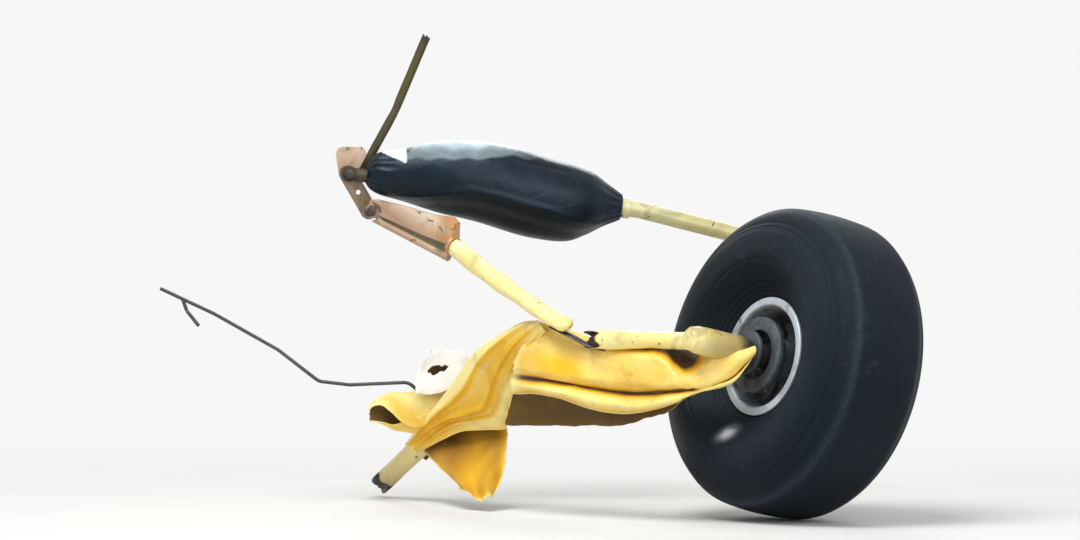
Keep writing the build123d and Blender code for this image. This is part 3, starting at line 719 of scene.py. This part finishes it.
# Near its mouth, beside the hub, it is painted near black, a painted shade; a tan band lies just inboard of it
piece("socket_forged", points, faces, "root", "yellow_paint", "axle_socket", {
    "tan": [0.85 * bell(w + 0.15, 0.045) for w in reach],
    "shade_and_soot": [0.9 / (1 + exp(-(w + 0.124) / 0.002)) for w in reach],
})

# Broken cabane tube: flattened under its bolt, a little bent, torn off at its end
CABANE_R, CABANE_WALL, CABANE_LENGTH, CABANE_LEAN = 0.007, 0.0015, 0.246, radians(65)
cabane_rise = STRUT_RUN * cos(CABANE_LEAN) + UP * sin(CABANE_LEAN)
cabane_root = CABANE_BOLT + STRUT_RUN * 0.028 - NEAR * 0.0255
cabane_tip = cabane_root + cabane_rise * CABANE_LENGTH
cabane_path = rounded(
    [CABANE_BOLT - STRUT_RUN * 0.009 - NEAR * 0.0185, cabane_root - STRUT_RUN * 0.004,
     cabane_root.lerp(cabane_tip, 0.45) + STRUT_RUN * 0.005, cabane_tip], 0.012, step=0.003,
)
points, faces, shade_and_soot = tube(
    cabane_path, CABANE_R, CABANE_WALL, steps=28, flat=((0.0, 0.026, 0.64, pi / 2),), jag=0.009,
    dents=((0.15, 1.0, 0.012, 0.0015),), rough=0.0002, seed=4.0,
)
piece("cabane_tube_torn", points, faces, "root", "cabane_paint", "cabane_tube", {"shade_and_soot": shade_and_soot})

# Front vee tube: it broke at the kink. The level run ends torn open, the upper run ends crushed shut, and a
# strap of torn wall joins them, painted near black all over as painted shade in the gap between the runs.
STRAP_R, STRAP_WALL = 0.0055, 0.0012
lower_end = at(585, 406.9, -0.004)
lower = tube(
    rounded([FRONT_START, lower_end.lerp(FRONT_START, 0.12), lower_end], 0.02), FRONT_R, TUBE_WALL,
    flat=((0.17, 0.03, 0.3, pi / 2),), dents=((0.09, 2.2, 0.02, 0.002),), jag=0.01, seed=3.0,
    bite=(-AWAY, 0.03, 0.2),
)
upper_end = at(580.4, 403, 0.006)
upper = tube(
    rounded(
        [FRONT_TOP, at(553.6, 385.6, 0.155), at(562.2, 391.9, 0.112), at(571, 397.9, 0.062), upper_end], 0.03
    ),
    FRONT_R, TUBE_WALL, flat=((0.045, 0.035, 0.5, pi / 2), (0.27, 0.04, 0.32, 0.5), (0.12, 0.02, 0.14, 1.2)),
    dents=((0.17, 4.0, 0.02, 0.004), (0.09, 1.0, 0.018, 0.003)), seed=8.0, closed=0.016,
)
strap_path = [at(574.5, 402.6, 0.03), at(580.5, 405.6, 0.014), at(586, 408.6, 0.004), at(592, 410, -0.01)]
strap = tube(
    rounded(strap_path, 0.012), STRAP_R, STRAP_WALL, steps=20, flat=((0.05, 0.09, 0.6, 0.3),), seed=5.0,
)
points, faces = join(lower, upper, strap)
shade_and_soot = lower[2] + upper[2] + [1.0] * len(strap[2])
piece("front_tube_buckled", points, faces, "root", "yellow_paint", "vee_front_tube", {"shade_and_soot": shade_and_soot})

# Rear vee tube: bowed at the hub, crushed at its kink and torn open at its low end
rear_path = rounded(
    [REAR_START, at(629, 415, -0.078), at(620.5, 419.5, -0.083), REAR_UNDER, REAR_KINK, REAR_KNEE,
     REAR_END + (REAR_END - REAR_KNEE).normalized() * 0.012], 0.012,
)
points, faces, shade_and_soot = tube(
    rear_path, REAR_R, TUBE_WALL, flat=((0.41, 0.02, 0.3, 0.0), (0.83, 0.02, 0.15, 0.4)),
    dents=((0.88, 1.0, 0.02, 0.003),), jag=0.006, seed=1.0, bite=(-AWAY, 0.052, -0.1),
)
# Near the hub it is painted near black: painted shade
shade_and_soot = [max(dark, 0.85 * ((p - REAR_START).dot(RIGHT) > -0.09)) for dark, p in zip(shade_and_soot, points)]
low_end = [0.9 * bell((p - REAR_END).length, 0.11) for p in points]
piece("rear_tube_buckled", points, faces, "root", "yellow_paint", "vee_rear_tube", {"shade_and_soot": shade_and_soot, "tan": low_end})


# Cloth
CLOTH_THICKNESS, FINE, SLOPE_STEP = 0.0012, 48, 0.012


def draped(name, net, rows, columns, slot, replaced, wrinkle, ragged, light_and_tone, seed, hole=None, turned_over=False):
    """A two-sided sheet through a net of points, wrinkled, with painted light and shade. Ragged says how deep its
    first and last row and its first and last column are torn."""
    across = [spline(list(row), FINE) for row in net]
    fine = [spline([row[k] for row in across], FINE) for k in range(FINE)]

    def on(s, t):
        s, t = max(0.0, min(0.9999, s)) * (FINE - 1), max(0.0, min(0.9999, t)) * (FINE - 1)
        i, j = int(s), int(t)
        a = fine[j][i].lerp(fine[j][i + 1], s - i)
        b = fine[j + 1][i].lerp(fine[j + 1][i + 1], s - i)
        return a.lerp(b, t - j)

    def rag(which, x):
        wave = ripple(x * 9 + seed, which * 7.3, 0) + 0.5 * ripple(x * 31, which, seed)
        return ragged[which] * (0.5 + wave)

    surface, light_and_tone_values, fray = [], [], []
    for r in range(rows):
        for c in range(columns):
            s, t = r / (rows - 1), c / (columns - 1)
            s0, s1 = rag(0, t), 1 - rag(1, t)
            t0, t1 = rag(2, s), 1 - rag(3, s)
            ss, tt = s0 + (s1 - s0) * s, t0 + (t1 - t0) * t
            du = on(ss + SLOPE_STEP, tt) - on(ss - SLOPE_STEP, tt)
            dv = on(ss, tt + SLOPE_STEP) - on(ss, tt - SLOPE_STEP)
            normal = du.cross(dv)
            normal = normal.normalized() if normal.length > 1e-12 else UP
            surface.append((on(ss, tt) + normal * wrinkle(ss, tt), normal))
            # Painted light and shade, with some tone, at each point
            light_and_tone_values.append(light_and_tone(ss, tt))
            torn = [reach for reach, deep in zip((s, 1 - s, t, 1 - t), ragged) if deep]
            fray.append(0.7 * bell(min(torn), 0.02))
    points = [p + n * CLOTH_THICKNESS / 2 for p, n in surface] + [p - n * CLOTH_THICKNESS / 2 for p, n in surface]
    count = rows * columns
    keep = grid_faces(rows, columns, wrap=False)
    if hole:
        keep = [face for face in keep if not hole(face[0] % columns / (columns - 1), surface[face[0]][0])]
    faces = keep + [tuple(k + count for k in reversed(face)) for face in keep]
    backs = [int(turned_over)] * len(keep) + [1 - int(turned_over)] * len(keep)
    edges = dict.fromkeys(edge for face in keep for edge in zip(face, face[1:] + face[:1]))
    for a, b in edges:
        if (b, a) not in edges:
            faces.append((b, a, a + count, b + count))
            backs.append(0)
    used = sorted({k for face in faces for k in face})
    index = {k: i for i, k in enumerate(used)}
    faces = [tuple(index[k] for k in face) for face in faces]
    masks = {"light_and_tone": [light_and_tone_values[k % count] for k in used], "fray": [fray[k % count] for k in used]}
    return piece(name, [points[k] for k in used], faces, "root", slot, replaced, masks, backs)


def net_of(rows):
    """Points from where the photograph shows them, with their depths in millimetres."""
    return [[at(u, v, depth / 1000) for u, v, depth in row] for row in rows]


# Skin over the rear tube, in rows from the hub to the kink: far hem, far wall, over the tube, near face, crease,
# pale fold, hem
net = net_of((
    ((637, 413.2, -86), (637.6, 411.6, -88), (638, 410.2, -89), (638.5, 409, -91), (639, 409.2, -96),
     (639.2, 410.2, -98), (638.9, 411.2, -98), (638.3, 412.2, -95), (637.8, 412.9, -95), (637.3, 413.4, -92)),
    ((635, 416, -80), (633.5, 414.5, -74), (632, 412.5, -76), (631.6, 411.3, -86), (632.4, 410.9, -98),
     (634, 412.3, -105), (635.4, 413.8, -105), (636, 414.6, -100), (636.2, 415.2, -101), (635.8, 415.9, -92)),
    ((629.5, 420.6, -66), (628.5, 418, -50), (627.5, 413, -46), (626.5, 409.8, -60), (626, 411.9, -92),
     (627.5, 414.5, -106), (629.8, 417.5, -108), (631.2, 419.2, -103), (631.9, 419.9, -104), (631, 420.6, -92)),
    ((620, 424, -45), (619.5, 420, -36), (619, 411.5, -36), (618.8, 407, -50), (619, 416.6, -94),
     (620.5, 418.3, -108), (622.5, 421, -110), (623.2, 421.9, -104), (623.6, 422.6, -106), (622.8, 423.1, -95)),
    ((614.2, 428, -32), (613.9, 422.5, -26), (613.6, 412.5, -30), (613.4, 407.6, -50), (613.8, 415.2, -94),
     (615.6, 418.2, -110), (617.4, 421.4, -112), (617.9, 422.8, -104), (618.2, 424.4, -110), (617.3, 425.6, -98)),
    ((610, 430.5, -20), (609, 422, -20), (608.2, 412, -22), (608, 408, -42), (608.8, 412.6, -92),
     (611.5, 416.5, -111), (612.5, 421.3, -113), (613, 423.2, -103), (613, 425.9, -113), (612, 427.6, -100)),
    ((600, 433.6, 20), (600, 424, 14), (600, 413, 0), (600, 408.4, -20), (600.5, 411.5, -54), (600.8, 416, -68),
     (601, 421.2, -72), (601, 423.9, -54), (601, 428, -75), (600, 430.6, -58)),
    ((590, 434.6, 75), (590, 424, 60), (590, 412.5, 40), (590, 407.2, 10), (590.3, 411.2, -12), (590.5, 415.5, -22),
     (590.5, 420, -28), (590.5, 422.7, -8), (590.5, 426.8, -34), (590, 429.5, -16)),
    ((581, 434.8, 125), (581, 423, 105), (581, 409, 80), (581, 404, 55), (581.3, 407.4, 30), (581, 413, 20),
     (580.5, 418.4, 14), (580.5, 420.9, 28), (580, 424.2, 8), (579.8, 426.3, 24)),
    ((573, 435, 165), (573.5, 423, 140), (574, 406.5, 113), (574, 401.4, 90), (574.2, 403.6, 66), (572.5, 410, 54),
     (571, 416.5, 46), (570.5, 419.4, 56), (570, 422.4, 36), (570.5, 424.6, 50)),
    ((559.2, 434.4, 205), (560.6, 426, 184), (566, 409, 140), (568.6, 401.2, 110), (568.4, 403.4, 98),
     (565.4, 409, 108), (562.4, 415.5, 118), (561.6, 418.4, 122), (561, 421.3, 118), (561.6, 424.2, 124)),
))


def skin_wrinkle(s, t):
    calm = min(1.0, 3.5 * s)
    pull = 0.0025 * sin(15 * s + 11 * t) * bell(t - 0.6, 0.14) * bell(s - 0.75, 0.22)
    slack = 0.004 * ripple(s * 6, t * 5, 1.3) + 0.0018 * ripple(s * 20, t * 14, 4)
    return (pull + slack) * calm


# Painted light and shade on the skin: lighter along the pale fold, painted shade in the crease and at its left
# end, a painted shadow under the level tube, painted shade at the dark opening near the hub, darker along the hem.
def skin_light_and_tone(s, t):
    fold = bell(t - 0.9, 0.05) + bell(t - 0.97, 0.04)
    crease = bell(t - 0.78, 0.032)
    left = bell(s - 0.86, 0.1) * bell(t - 0.62, 0.07)
    shadow_under_tube = 1.6 * bell(t - 0.385, 0.035) * bell(s - 0.56, 0.1)
    shaded_opening = 4.5 * bell(s - 0.35, 0.078) * bell(t - 0.375, 0.052)
    return 0.74 + 0.14 * fold - 1.45 * crease - 0.3 * left - shadow_under_tube - shaded_opening - 0.8 * bell(t - 1, 0.045)


skin = draped(
    "skin_torn", net, 190, 130, "yellow_fabric", "fabric_skin", skin_wrinkle, (0, 0.012, 0.01, 0.01),
    skin_light_and_tone, seed=2.0,
)

# Band of cloth over the rear tube below the kink, its near side hanging as a lip. The tube's line in the
# photograph, with its depth, and the way across it there. For each row: how far down the band it is, its top edge
# and its near edge in the photograph, and how far beyond the tube the near edge is.
BAND_START, BAND_RUN = (571.5, 404.5, 0.1023), (-40.3, 38.2, 0.298)
ACROSS_U, ACROSS_V = 0.688, 0.726
net = []
for share, top, edge, lip in (
    (-0.03, (570.4, 401), (573, 404.5), -0.022), (0.09, (564.7, 401.9), (568, 411), -0.024),
    (0.22, (557, 406.3), (564.6, 417.5), -0.028), (0.36, (550.4, 411), (562, 426.5), -0.03),
    (0.5, (544.9, 418.6), (560.7, 434.8), -0.034), (0.6, (541.5, 423.5), (554.5, 435.6), -0.042),
    (0.7, (538.3, 427.6), (547, 436), -0.046), (0.81, (534.2, 432.2), (541, 438.4), -0.044),
    (0.92, (530.5, 437.4), (535.5, 441.3), -0.036), (0.985, (528.2, 440.3), (531.4, 443.4), -0.026),
):
    u0, v0, away = (start + run * share for start, run in zip(BAND_START, BAND_RUN))
    rise = ACROSS_U * (u0 - top[0]) + ACROSS_V * (v0 - top[1])
    row = [
        at(u0 + ACROSS_U * 4.5, v0 + ACROSS_V * 4.5, away + 0.01), at(u0 + 0.2, v0 + 0.2, away + 0.0265),
        at(u0 - ACROSS_U * 0.62 * rise, v0 - ACROSS_V * 0.62 * rise, away + 0.0235), at(*top, away),
    ]
    for part, near in ((0.15, -0.019), (0.34, -0.028), (0.54, -0.034), (0.73, -0.036), (0.89, 0.4 * lip - 0.022)):
        row.append(at(top[0] + (edge[0] - top[0]) * part, top[1] + (edge[1] - top[1]) * part, away + near))
    row.append(at(*edge, away + lip))
    net.append(row)

# Its long folds: place across it, drift, width and depth
BAND_FOLDS = ((0.47, 0.02, 0.03, 0.0045), (0.62, 0.07, 0.026, 0.005), (0.76, 0.04, 0.028, 0.0045))


def band_folds(s, t):
    """How far a place is from each fold's ridge, with the fold's width and depth."""
    for middle, drift, width, depth in BAND_FOLDS:
        yield t - middle - drift * sin(5 * s + 9 * middle), width, depth


def band_wrinkle(s, t):
    folds = 0.0
    for off, width, depth in band_folds(s, t):
        folds += depth * (bell(off, width) - 0.7 * bell(off - 2 * width, width)) * min(1.0, 4 * s + 0.1)
    return folds * (1 - 0.7 * bell(s - 1, 0.2)) + 0.002 * ripple(s * 6, t * 9, 6.1)


# Painted light and shade on the band: shaded and lit lines along its folds, a painted highlight along its top,
# lighter over its lip, paler at its ends and at its very edge.
def band_light_and_tone(s, t):
    lines = 0.0
    for off, width, _ in band_folds(s, t):
        lines += bell(off, 0.8 * width) - 0.4 * bell(off - 2 * width, width)
    top = bell(t - 0.37, 0.075)
    right = bell(t - 0.86, 0.12) * bell(s - 0.4, 0.3)
    pale = 0.5 - 0.26 * lines + 0.75 * top + 0.45 * right
    return pale + 0.35 * bell(s, 0.1) + 0.2 * bell(s - 1, 0.1) + 0.3 * bell(t - 1, 0.02)


band = draped(
    "band_wrap", net, 170, 120, "yellow_fabric", "fabric_band", band_wrinkle, (0, 0.02, 0, 0.015), band_light_and_tone,
    seed=5.0,
)

# Flap that hangs from under the band's lip, clear of the floor
net = net_of((
    ((533, 440.8, 374), (534.9, 443.4, 352), (537.6, 446.2, 318), (540.6, 449, 278), (543.6, 451.7, 240),
     (546.4, 454, 205)),
    ((538.5, 438, 345), (539.8, 441.8, 322), (541.8, 446, 288), (544, 449.9, 248), (546.4, 453.2, 210),
     (548.6, 456, 180)),
    ((544.5, 435.5, 318), (545.3, 440.3, 294), (546.6, 445.3, 262), (548.1, 450, 224), (549.7, 454, 190),
     (551.2, 457.2, 162)),
    ((550.2, 433, 292), (550.8, 438.8, 270), (551.4, 444.2, 240), (552.2, 449.4, 206), (553, 453.8, 176),
     (553.8, 457.6, 150)),
    ((555.8, 431.5, 272), (556.1, 437.8, 252), (556.3, 443.6, 226), (556.2, 448.9, 198), (556, 453.5, 174),
     (555.6, 457.4, 154)),
    ((560.4, 430, 256), (560.6, 436.5, 240), (560.4, 442.4, 220), (559.8, 447.6, 200), (558.6, 452, 182),
     (557.2, 455.6, 168)),
))


def flap_wrinkle(s, t):
    drop = 0.2 + 0.8 * t
    folds = 0.006 * sin(13 * s + 1.5 * t + 0.6) * drop
    return folds + 0.004 * ripple(s * 4, t * 5, 9.1) * drop


# Painted shadow of the band's lip across the flap's top, painted light and shade along its folds, paler at one
# side and at its bottom edge.
def flap_light_and_tone(s, t):
    shade = bell(t - 0.08, 0.26) * (1 - 0.45 * s)
    return 0.24 - 0.62 * shade + 0.36 * bell(s - 1, 0.08) + 0.6 * bell(t - 1, 0.06) + 0.1 * sin(13 * s + 1.5 * t)


flap = draped(
    "flap_hanging", net, 110, 110, "yellow_fabric", "fabric_flap", flap_wrinkle, (0.02, 0.02, 0, 0.025),
    flap_light_and_tone, seed=11.0, turned_over=True,
)

# White-backed scrap behind the band, folded over at its top, its front torn through at a hole
SCRAP_AWAY = 0.305
HOLE_U, HOLE_V, HOLE_WIDE, HOLE_HIGH = 538.4, 416.6, 3.1, 1.35
net = []
for k, line in enumerate((
    ((531.4, 424), (531.3, 419.6), (533, 415.2), (536.3, 411.2)),
    ((536.2, 424.4), (536, 420), (537, 415), (539.4, 410.5)),
    ((541.2, 423.2), (541.2, 419), (542, 414.5), (543.4, 410.6)),
    ((546.4, 420.6), (546.4, 417.6), (546.8, 414.8), (547.4, 412)),
    ((551, 417.6), (550.8, 416.2), (550.4, 414.8), (549.9, 413.2)),
)):
    away = SCRAP_AWAY + 0.006 * sin(1.7 * k)
    row = [at(u, v, away + 0.002 * i) for i, (u, v) in enumerate(line)]
    (u0, v0), (u1, v1) = line[0], line[-1]
    for part, behind in ((0.02, 0.013), (0.3, 0.019), (0.62, 0.02)):
        row.append(at(u1 + (u0 - u1) * part, v1 + (v0 - v1) * part, away + behind))
    net.append(row)


def scrap_hole(t, point):
    u, v = seen(point)
    right, down = u - HOLE_U, v - HOLE_V
    torn = 1 + 0.7 * noise.noise(point * 160)
    return t < 0.5 and ((right + 0.3 * down) / HOLE_WIDE) ** 2 + ((down + 0.15 * right) / HOLE_HIGH) ** 2 < torn


def scrap_wrinkle(s, t):
    return 0.0016 * ripple(s * 6, t * 6, 3.3) + 0.001 * sin(9 * s + 14 * t)


scrap = draped(
    "scrap_white", net, 110, 110, "white_fabric", "white_scrap", scrap_wrinkle, (0.03, 0.03, 0, 0),
    lambda s, t: 0.8 - 0.5 * bell(t, 0.08), seed=7.0, hole=scrap_hole,
)

# Rolled end of cloth beside the band, narrow at its tip. For each row: its middle in the photograph with its
# depth, its radius in photo pixels, and half of its opening in degrees, or its overlap where that is below zero.
ROLL_STEPS = 14
net = []
for u, v, away, r, gap in (
    (517, 430.7, 0.365, 2.2, 62), (518.6, 429.7, 0.363, 3.3, 58), (521.2, 429.3, 0.36, 4.4, 48),
    (524.4, 429.6, 0.356, 5.6, 24), (527.6, 430.1, 0.352, 6.6, 2), (531.6, 430, 0.347, 7.1, -14),
    (536.5, 429, 0.342, 6.4, -20), (542, 427.6, 0.335, 5.2, -24),
):
    scale = (EYE_DISTANCE + away) / FOCAL
    centre = at(u, v, away)
    row = []
    for turn in range(ROLL_STEPS + 1):
        angle = radians(-28 + gap + (360 - 2 * gap) * turn / ROLL_STEPS)
        reach = r * scale * (1.0 if gap > 10 else 1.0 - 0.01 * turn)
        row.append(centre + (UP * sin(angle) - AWAY * 0.55 * cos(angle)) * reach)
    net.append(row)


def roll_wrinkle(s, t):
    return 0.0018 * ripple(s * 5, t * 8, 5.5) + 0.0012 * sin(22 * t + 5 * s)


# Its mask: paler towards its tip and in a band along one side, with painted light and shade along its folds
roll = draped(
    "rolled_end_cloth", net, 80, 140, "yellow_fabric", "rolled_end", roll_wrinkle, (0.03, 0, 0, 0),
    lambda s, t: 0.78 + 0.45 * bell(s, 0.3) + 0.4 * bell(t - 0.66, 0.13) + 0.1 * sin(22 * t + 5 * s), seed=13.0,
)

# Padded boot over the shock cords, riding up on the strut: distance down it, radius, lift
BOOT_LINE = (
    (0.03, 0.015, 0.004), (0.036, 0.025, 0.007), (0.046, 0.0322, 0.008), (0.062, 0.0375, 0.0075),
    (0.098, 0.047, 0.01), (0.132, 0.057, 0.0142), (0.19, 0.0655, 0.0147), (0.25, 0.07, 0.0102),
    (0.32, 0.0692, 0.0), (0.37, 0.0642, -0.004), (0.404, 0.0522, -0.001), (0.432, 0.0342, 0.0),
    (0.4555, 0.0208, 0.0),
)
BOOT_STEPS, BOOT_STATIONS = 120, 150
# In the photograph: where the painted reflection on its top begins and ends, its pale patch's edges, and its split
SHEEN_LEFT_U, SHEEN_RIGHT_U = 530.6, 571
PALE_PATCH_LEFT_U, PALE_PATCH_RIGHT_U = 521.2, 528.8
SPLIT_U, SPLIT_V = 530.2, 348
boot_up = (UP - STRUT * UP.dot(STRUT)).normalized()
boot_side = STRUT.cross(boot_up)
rings, sheen, pale_patch, shaded_underside_and_split = [], [], [], []
for d, r, lift in spline([Vector(entry) for entry in BOOT_LINE], BOOT_STATIONS):
    centre = CABANE_BOLT + STRUT * d + boot_up * lift
    middle = bell(d - 0.26, 0.17)
    ends = bell(d - 0.034, 0.03) + bell(d - 0.4555, 0.03)
    seam = -radians(14 + 30 * max(0.0, (0.2 - d) / 0.09) ** 1.2 + 32 * max(0.0, (d - 0.33) / 0.1) ** 1.5)
    for k in range(BOOT_STEPS):
        # The angle is up from the near side: 0 near, 90 degrees on top
        angle = 2 * pi * k / BOOT_STEPS - pi
        facet = -0.035 * abs(sin(2.0 * angle + 0.9)) * middle
        below = (angle - seam + pi) % (2 * pi) - pi
        ridge = 0.05 * bell(below, 0.09) * middle
        hollow = -0.1 * bell(below + 0.55, 0.34) * middle
        pleat = 0.05 * sin(14 * angle) * ends
        soft = 0.03 * ripple(d * 15, cos(angle) * 1.3, sin(angle) * 1.3)
        crease = -0.03 * bell(angle - 0.75 - 1.6 * (d - 0.24), 0.07) * bell(d - 0.27, 0.08)
        reach = r * min(1.02, 1.0 + facet + ridge + hollow + pleat + soft + crease)
        point = centre + boot_side * reach * cos(angle) + boot_up * reach * sin(angle)
        rings.append(point)
        # Painted reflection along the top, brightest near its upper edge
        u, v = seen(point)
        lower = 350.3 - 1.2 * bell(u - 561, 4.0) + 0.25 * sin(0.8 * u)
        from_left = clipped((u - SHEEN_LEFT_U + 0.9 * (v - 346)) / 1.2)
        from_right = clipped((SHEEN_RIGHT_U - u) / 9.0)
        bright = 0.33 + 0.62 * bell(lower - v - 5.2, 1.7)
        sheen.append(bright * clipped((lower - v) / 0.7) * from_left * from_right * (angle > 0))
        # A pale patch near its left end, on the near side
        near_side = -0.4 < angle < pi / 2 + 0.5
        in_pale_patch = PALE_PATCH_LEFT_U < u < PALE_PATCH_RIGHT_U and v < 351 - 0.45 * (528 - u)
        pale_patch.append(1.0 if near_side and in_pale_patch else 0.0)
        # Painted shade on the underside below the seam, and a dark line along the split
        dark = 1 / (1 + exp(26 * (below + 0.03))) * (below > -2.4)
        split = bell(u - SPLIT_U + 0.55 * (v - SPLIT_V), 0.8) * (v < 353 and near_side)
        shaded_underside_and_split.append(min(1.0, 0.95 * dark * clipped((d - 0.1) / 0.04) + 0.9 * split))
boot = piece(
    "boot_padded", rings, capped(BOOT_STATIONS, BOOT_STEPS), "root", "boot_vinyl", "shock_boot",
    {"sheen": sheen, "pale_patch": pale_patch, "shaded_underside_and_split": shaded_underside_and_split},
)

# Floor, light and camera. Far from the part the floor shows as the backdrop does.
SHOWN, AMBIENT = 0.93, 0.42
FLOOR_HALF, FLOOR_Z = 9.0, -0.0005

world = bpy.data.worlds.new("studio")
bpy.context.scene.world = world
world.use_nodes = True
sky = Nodes(world.node_tree)
level = sky.node("MapRange", {"Value": sky.seen_directly(), "To Min": AMBIENT, "To Max": SHOWN})
sky.fill(sky.tree.nodes["Background"], {"Color": (1.0, 1.0, 1.0, 1.0), "Strength": level.outputs["Result"]})

mesh = bpy.data.meshes.new("floor")
corners = ((-1, -1), (1, -1), (1, 1), (-1, 1))
mesh.from_pydata([(x * FLOOR_HALF, y * FLOOR_HALF, FLOOR_Z) for x, y in corners], [], [(0, 1, 2, 3)])
floor = linked("floor", mesh)
ground = Shade("floor_pale")
ground.base(ground.span(ground.noise(3, 4), 0.3, 0.7), "dadad8", "e0e0de")
ground.done(0.9)
mesh.materials.append(ground.material)
distance = ground.node("VectorMath", {0: ground.where}, operation="LENGTH")
far_away = ground.span(distance.outputs["Value"], 0.75, 1.9)
glow = ground.node("Emission", {"Strength": SHOWN})
blend = ground.node("MixShader", {
    0: ground.math("MULTIPLY", far_away, ground.seen_directly()), 1: ground.shader.outputs[0], 2: glow.outputs[0],
})
ground.fill(ground.tree.nodes["Material Output"], {"Surface": blend.outputs[0]})


def lamp(name, towards, distance, size, power):
    light = bpy.data.lights.new(name, "AREA")
    light.shape = "DISK"
    light.size = size
    light.energy = power
    made = linked(name, light)
    target = Vector((0, 0, 0.3))
    made.location = target + towards.normalized() * distance
    made.rotation_euler = (target - made.location).to_track_quat("-Z", "Y").to_euler()


lamp("key", UP * 1.0 - RIGHT * 0.25 - AWAY * 0.45, 3.2, 2.0, 88)
lamp("fill", UP * 0.5 + RIGHT * 0.5 - AWAY * 1.0, 4.0, 2.6, 56)
lamp("back", UP * 0.6 + AWAY * 1.0, 3.6, 1.8, 35)

eye = bpy.data.cameras.new("photo_view")
eye.sensor_width = SENSOR
eye.lens = SENSOR * FOCAL / FRAMED_WIDTH
camera = linked("photo_view", eye)
camera.location = GROUND - AWAY * EYE_DISTANCE + UP * EYE_HEIGHT
aim = AWAY + RIGHT * (AIM_U - WHEEL_U) / FOCAL - UP * (AIM_V - LEVEL_V) / FOCAL
camera.rotation_euler = aim.to_track_quat("-Z", "Y").to_euler()
bpy.context.scene.camera = camera
bpy.context.scene.view_settings.view_transform = "Standard"
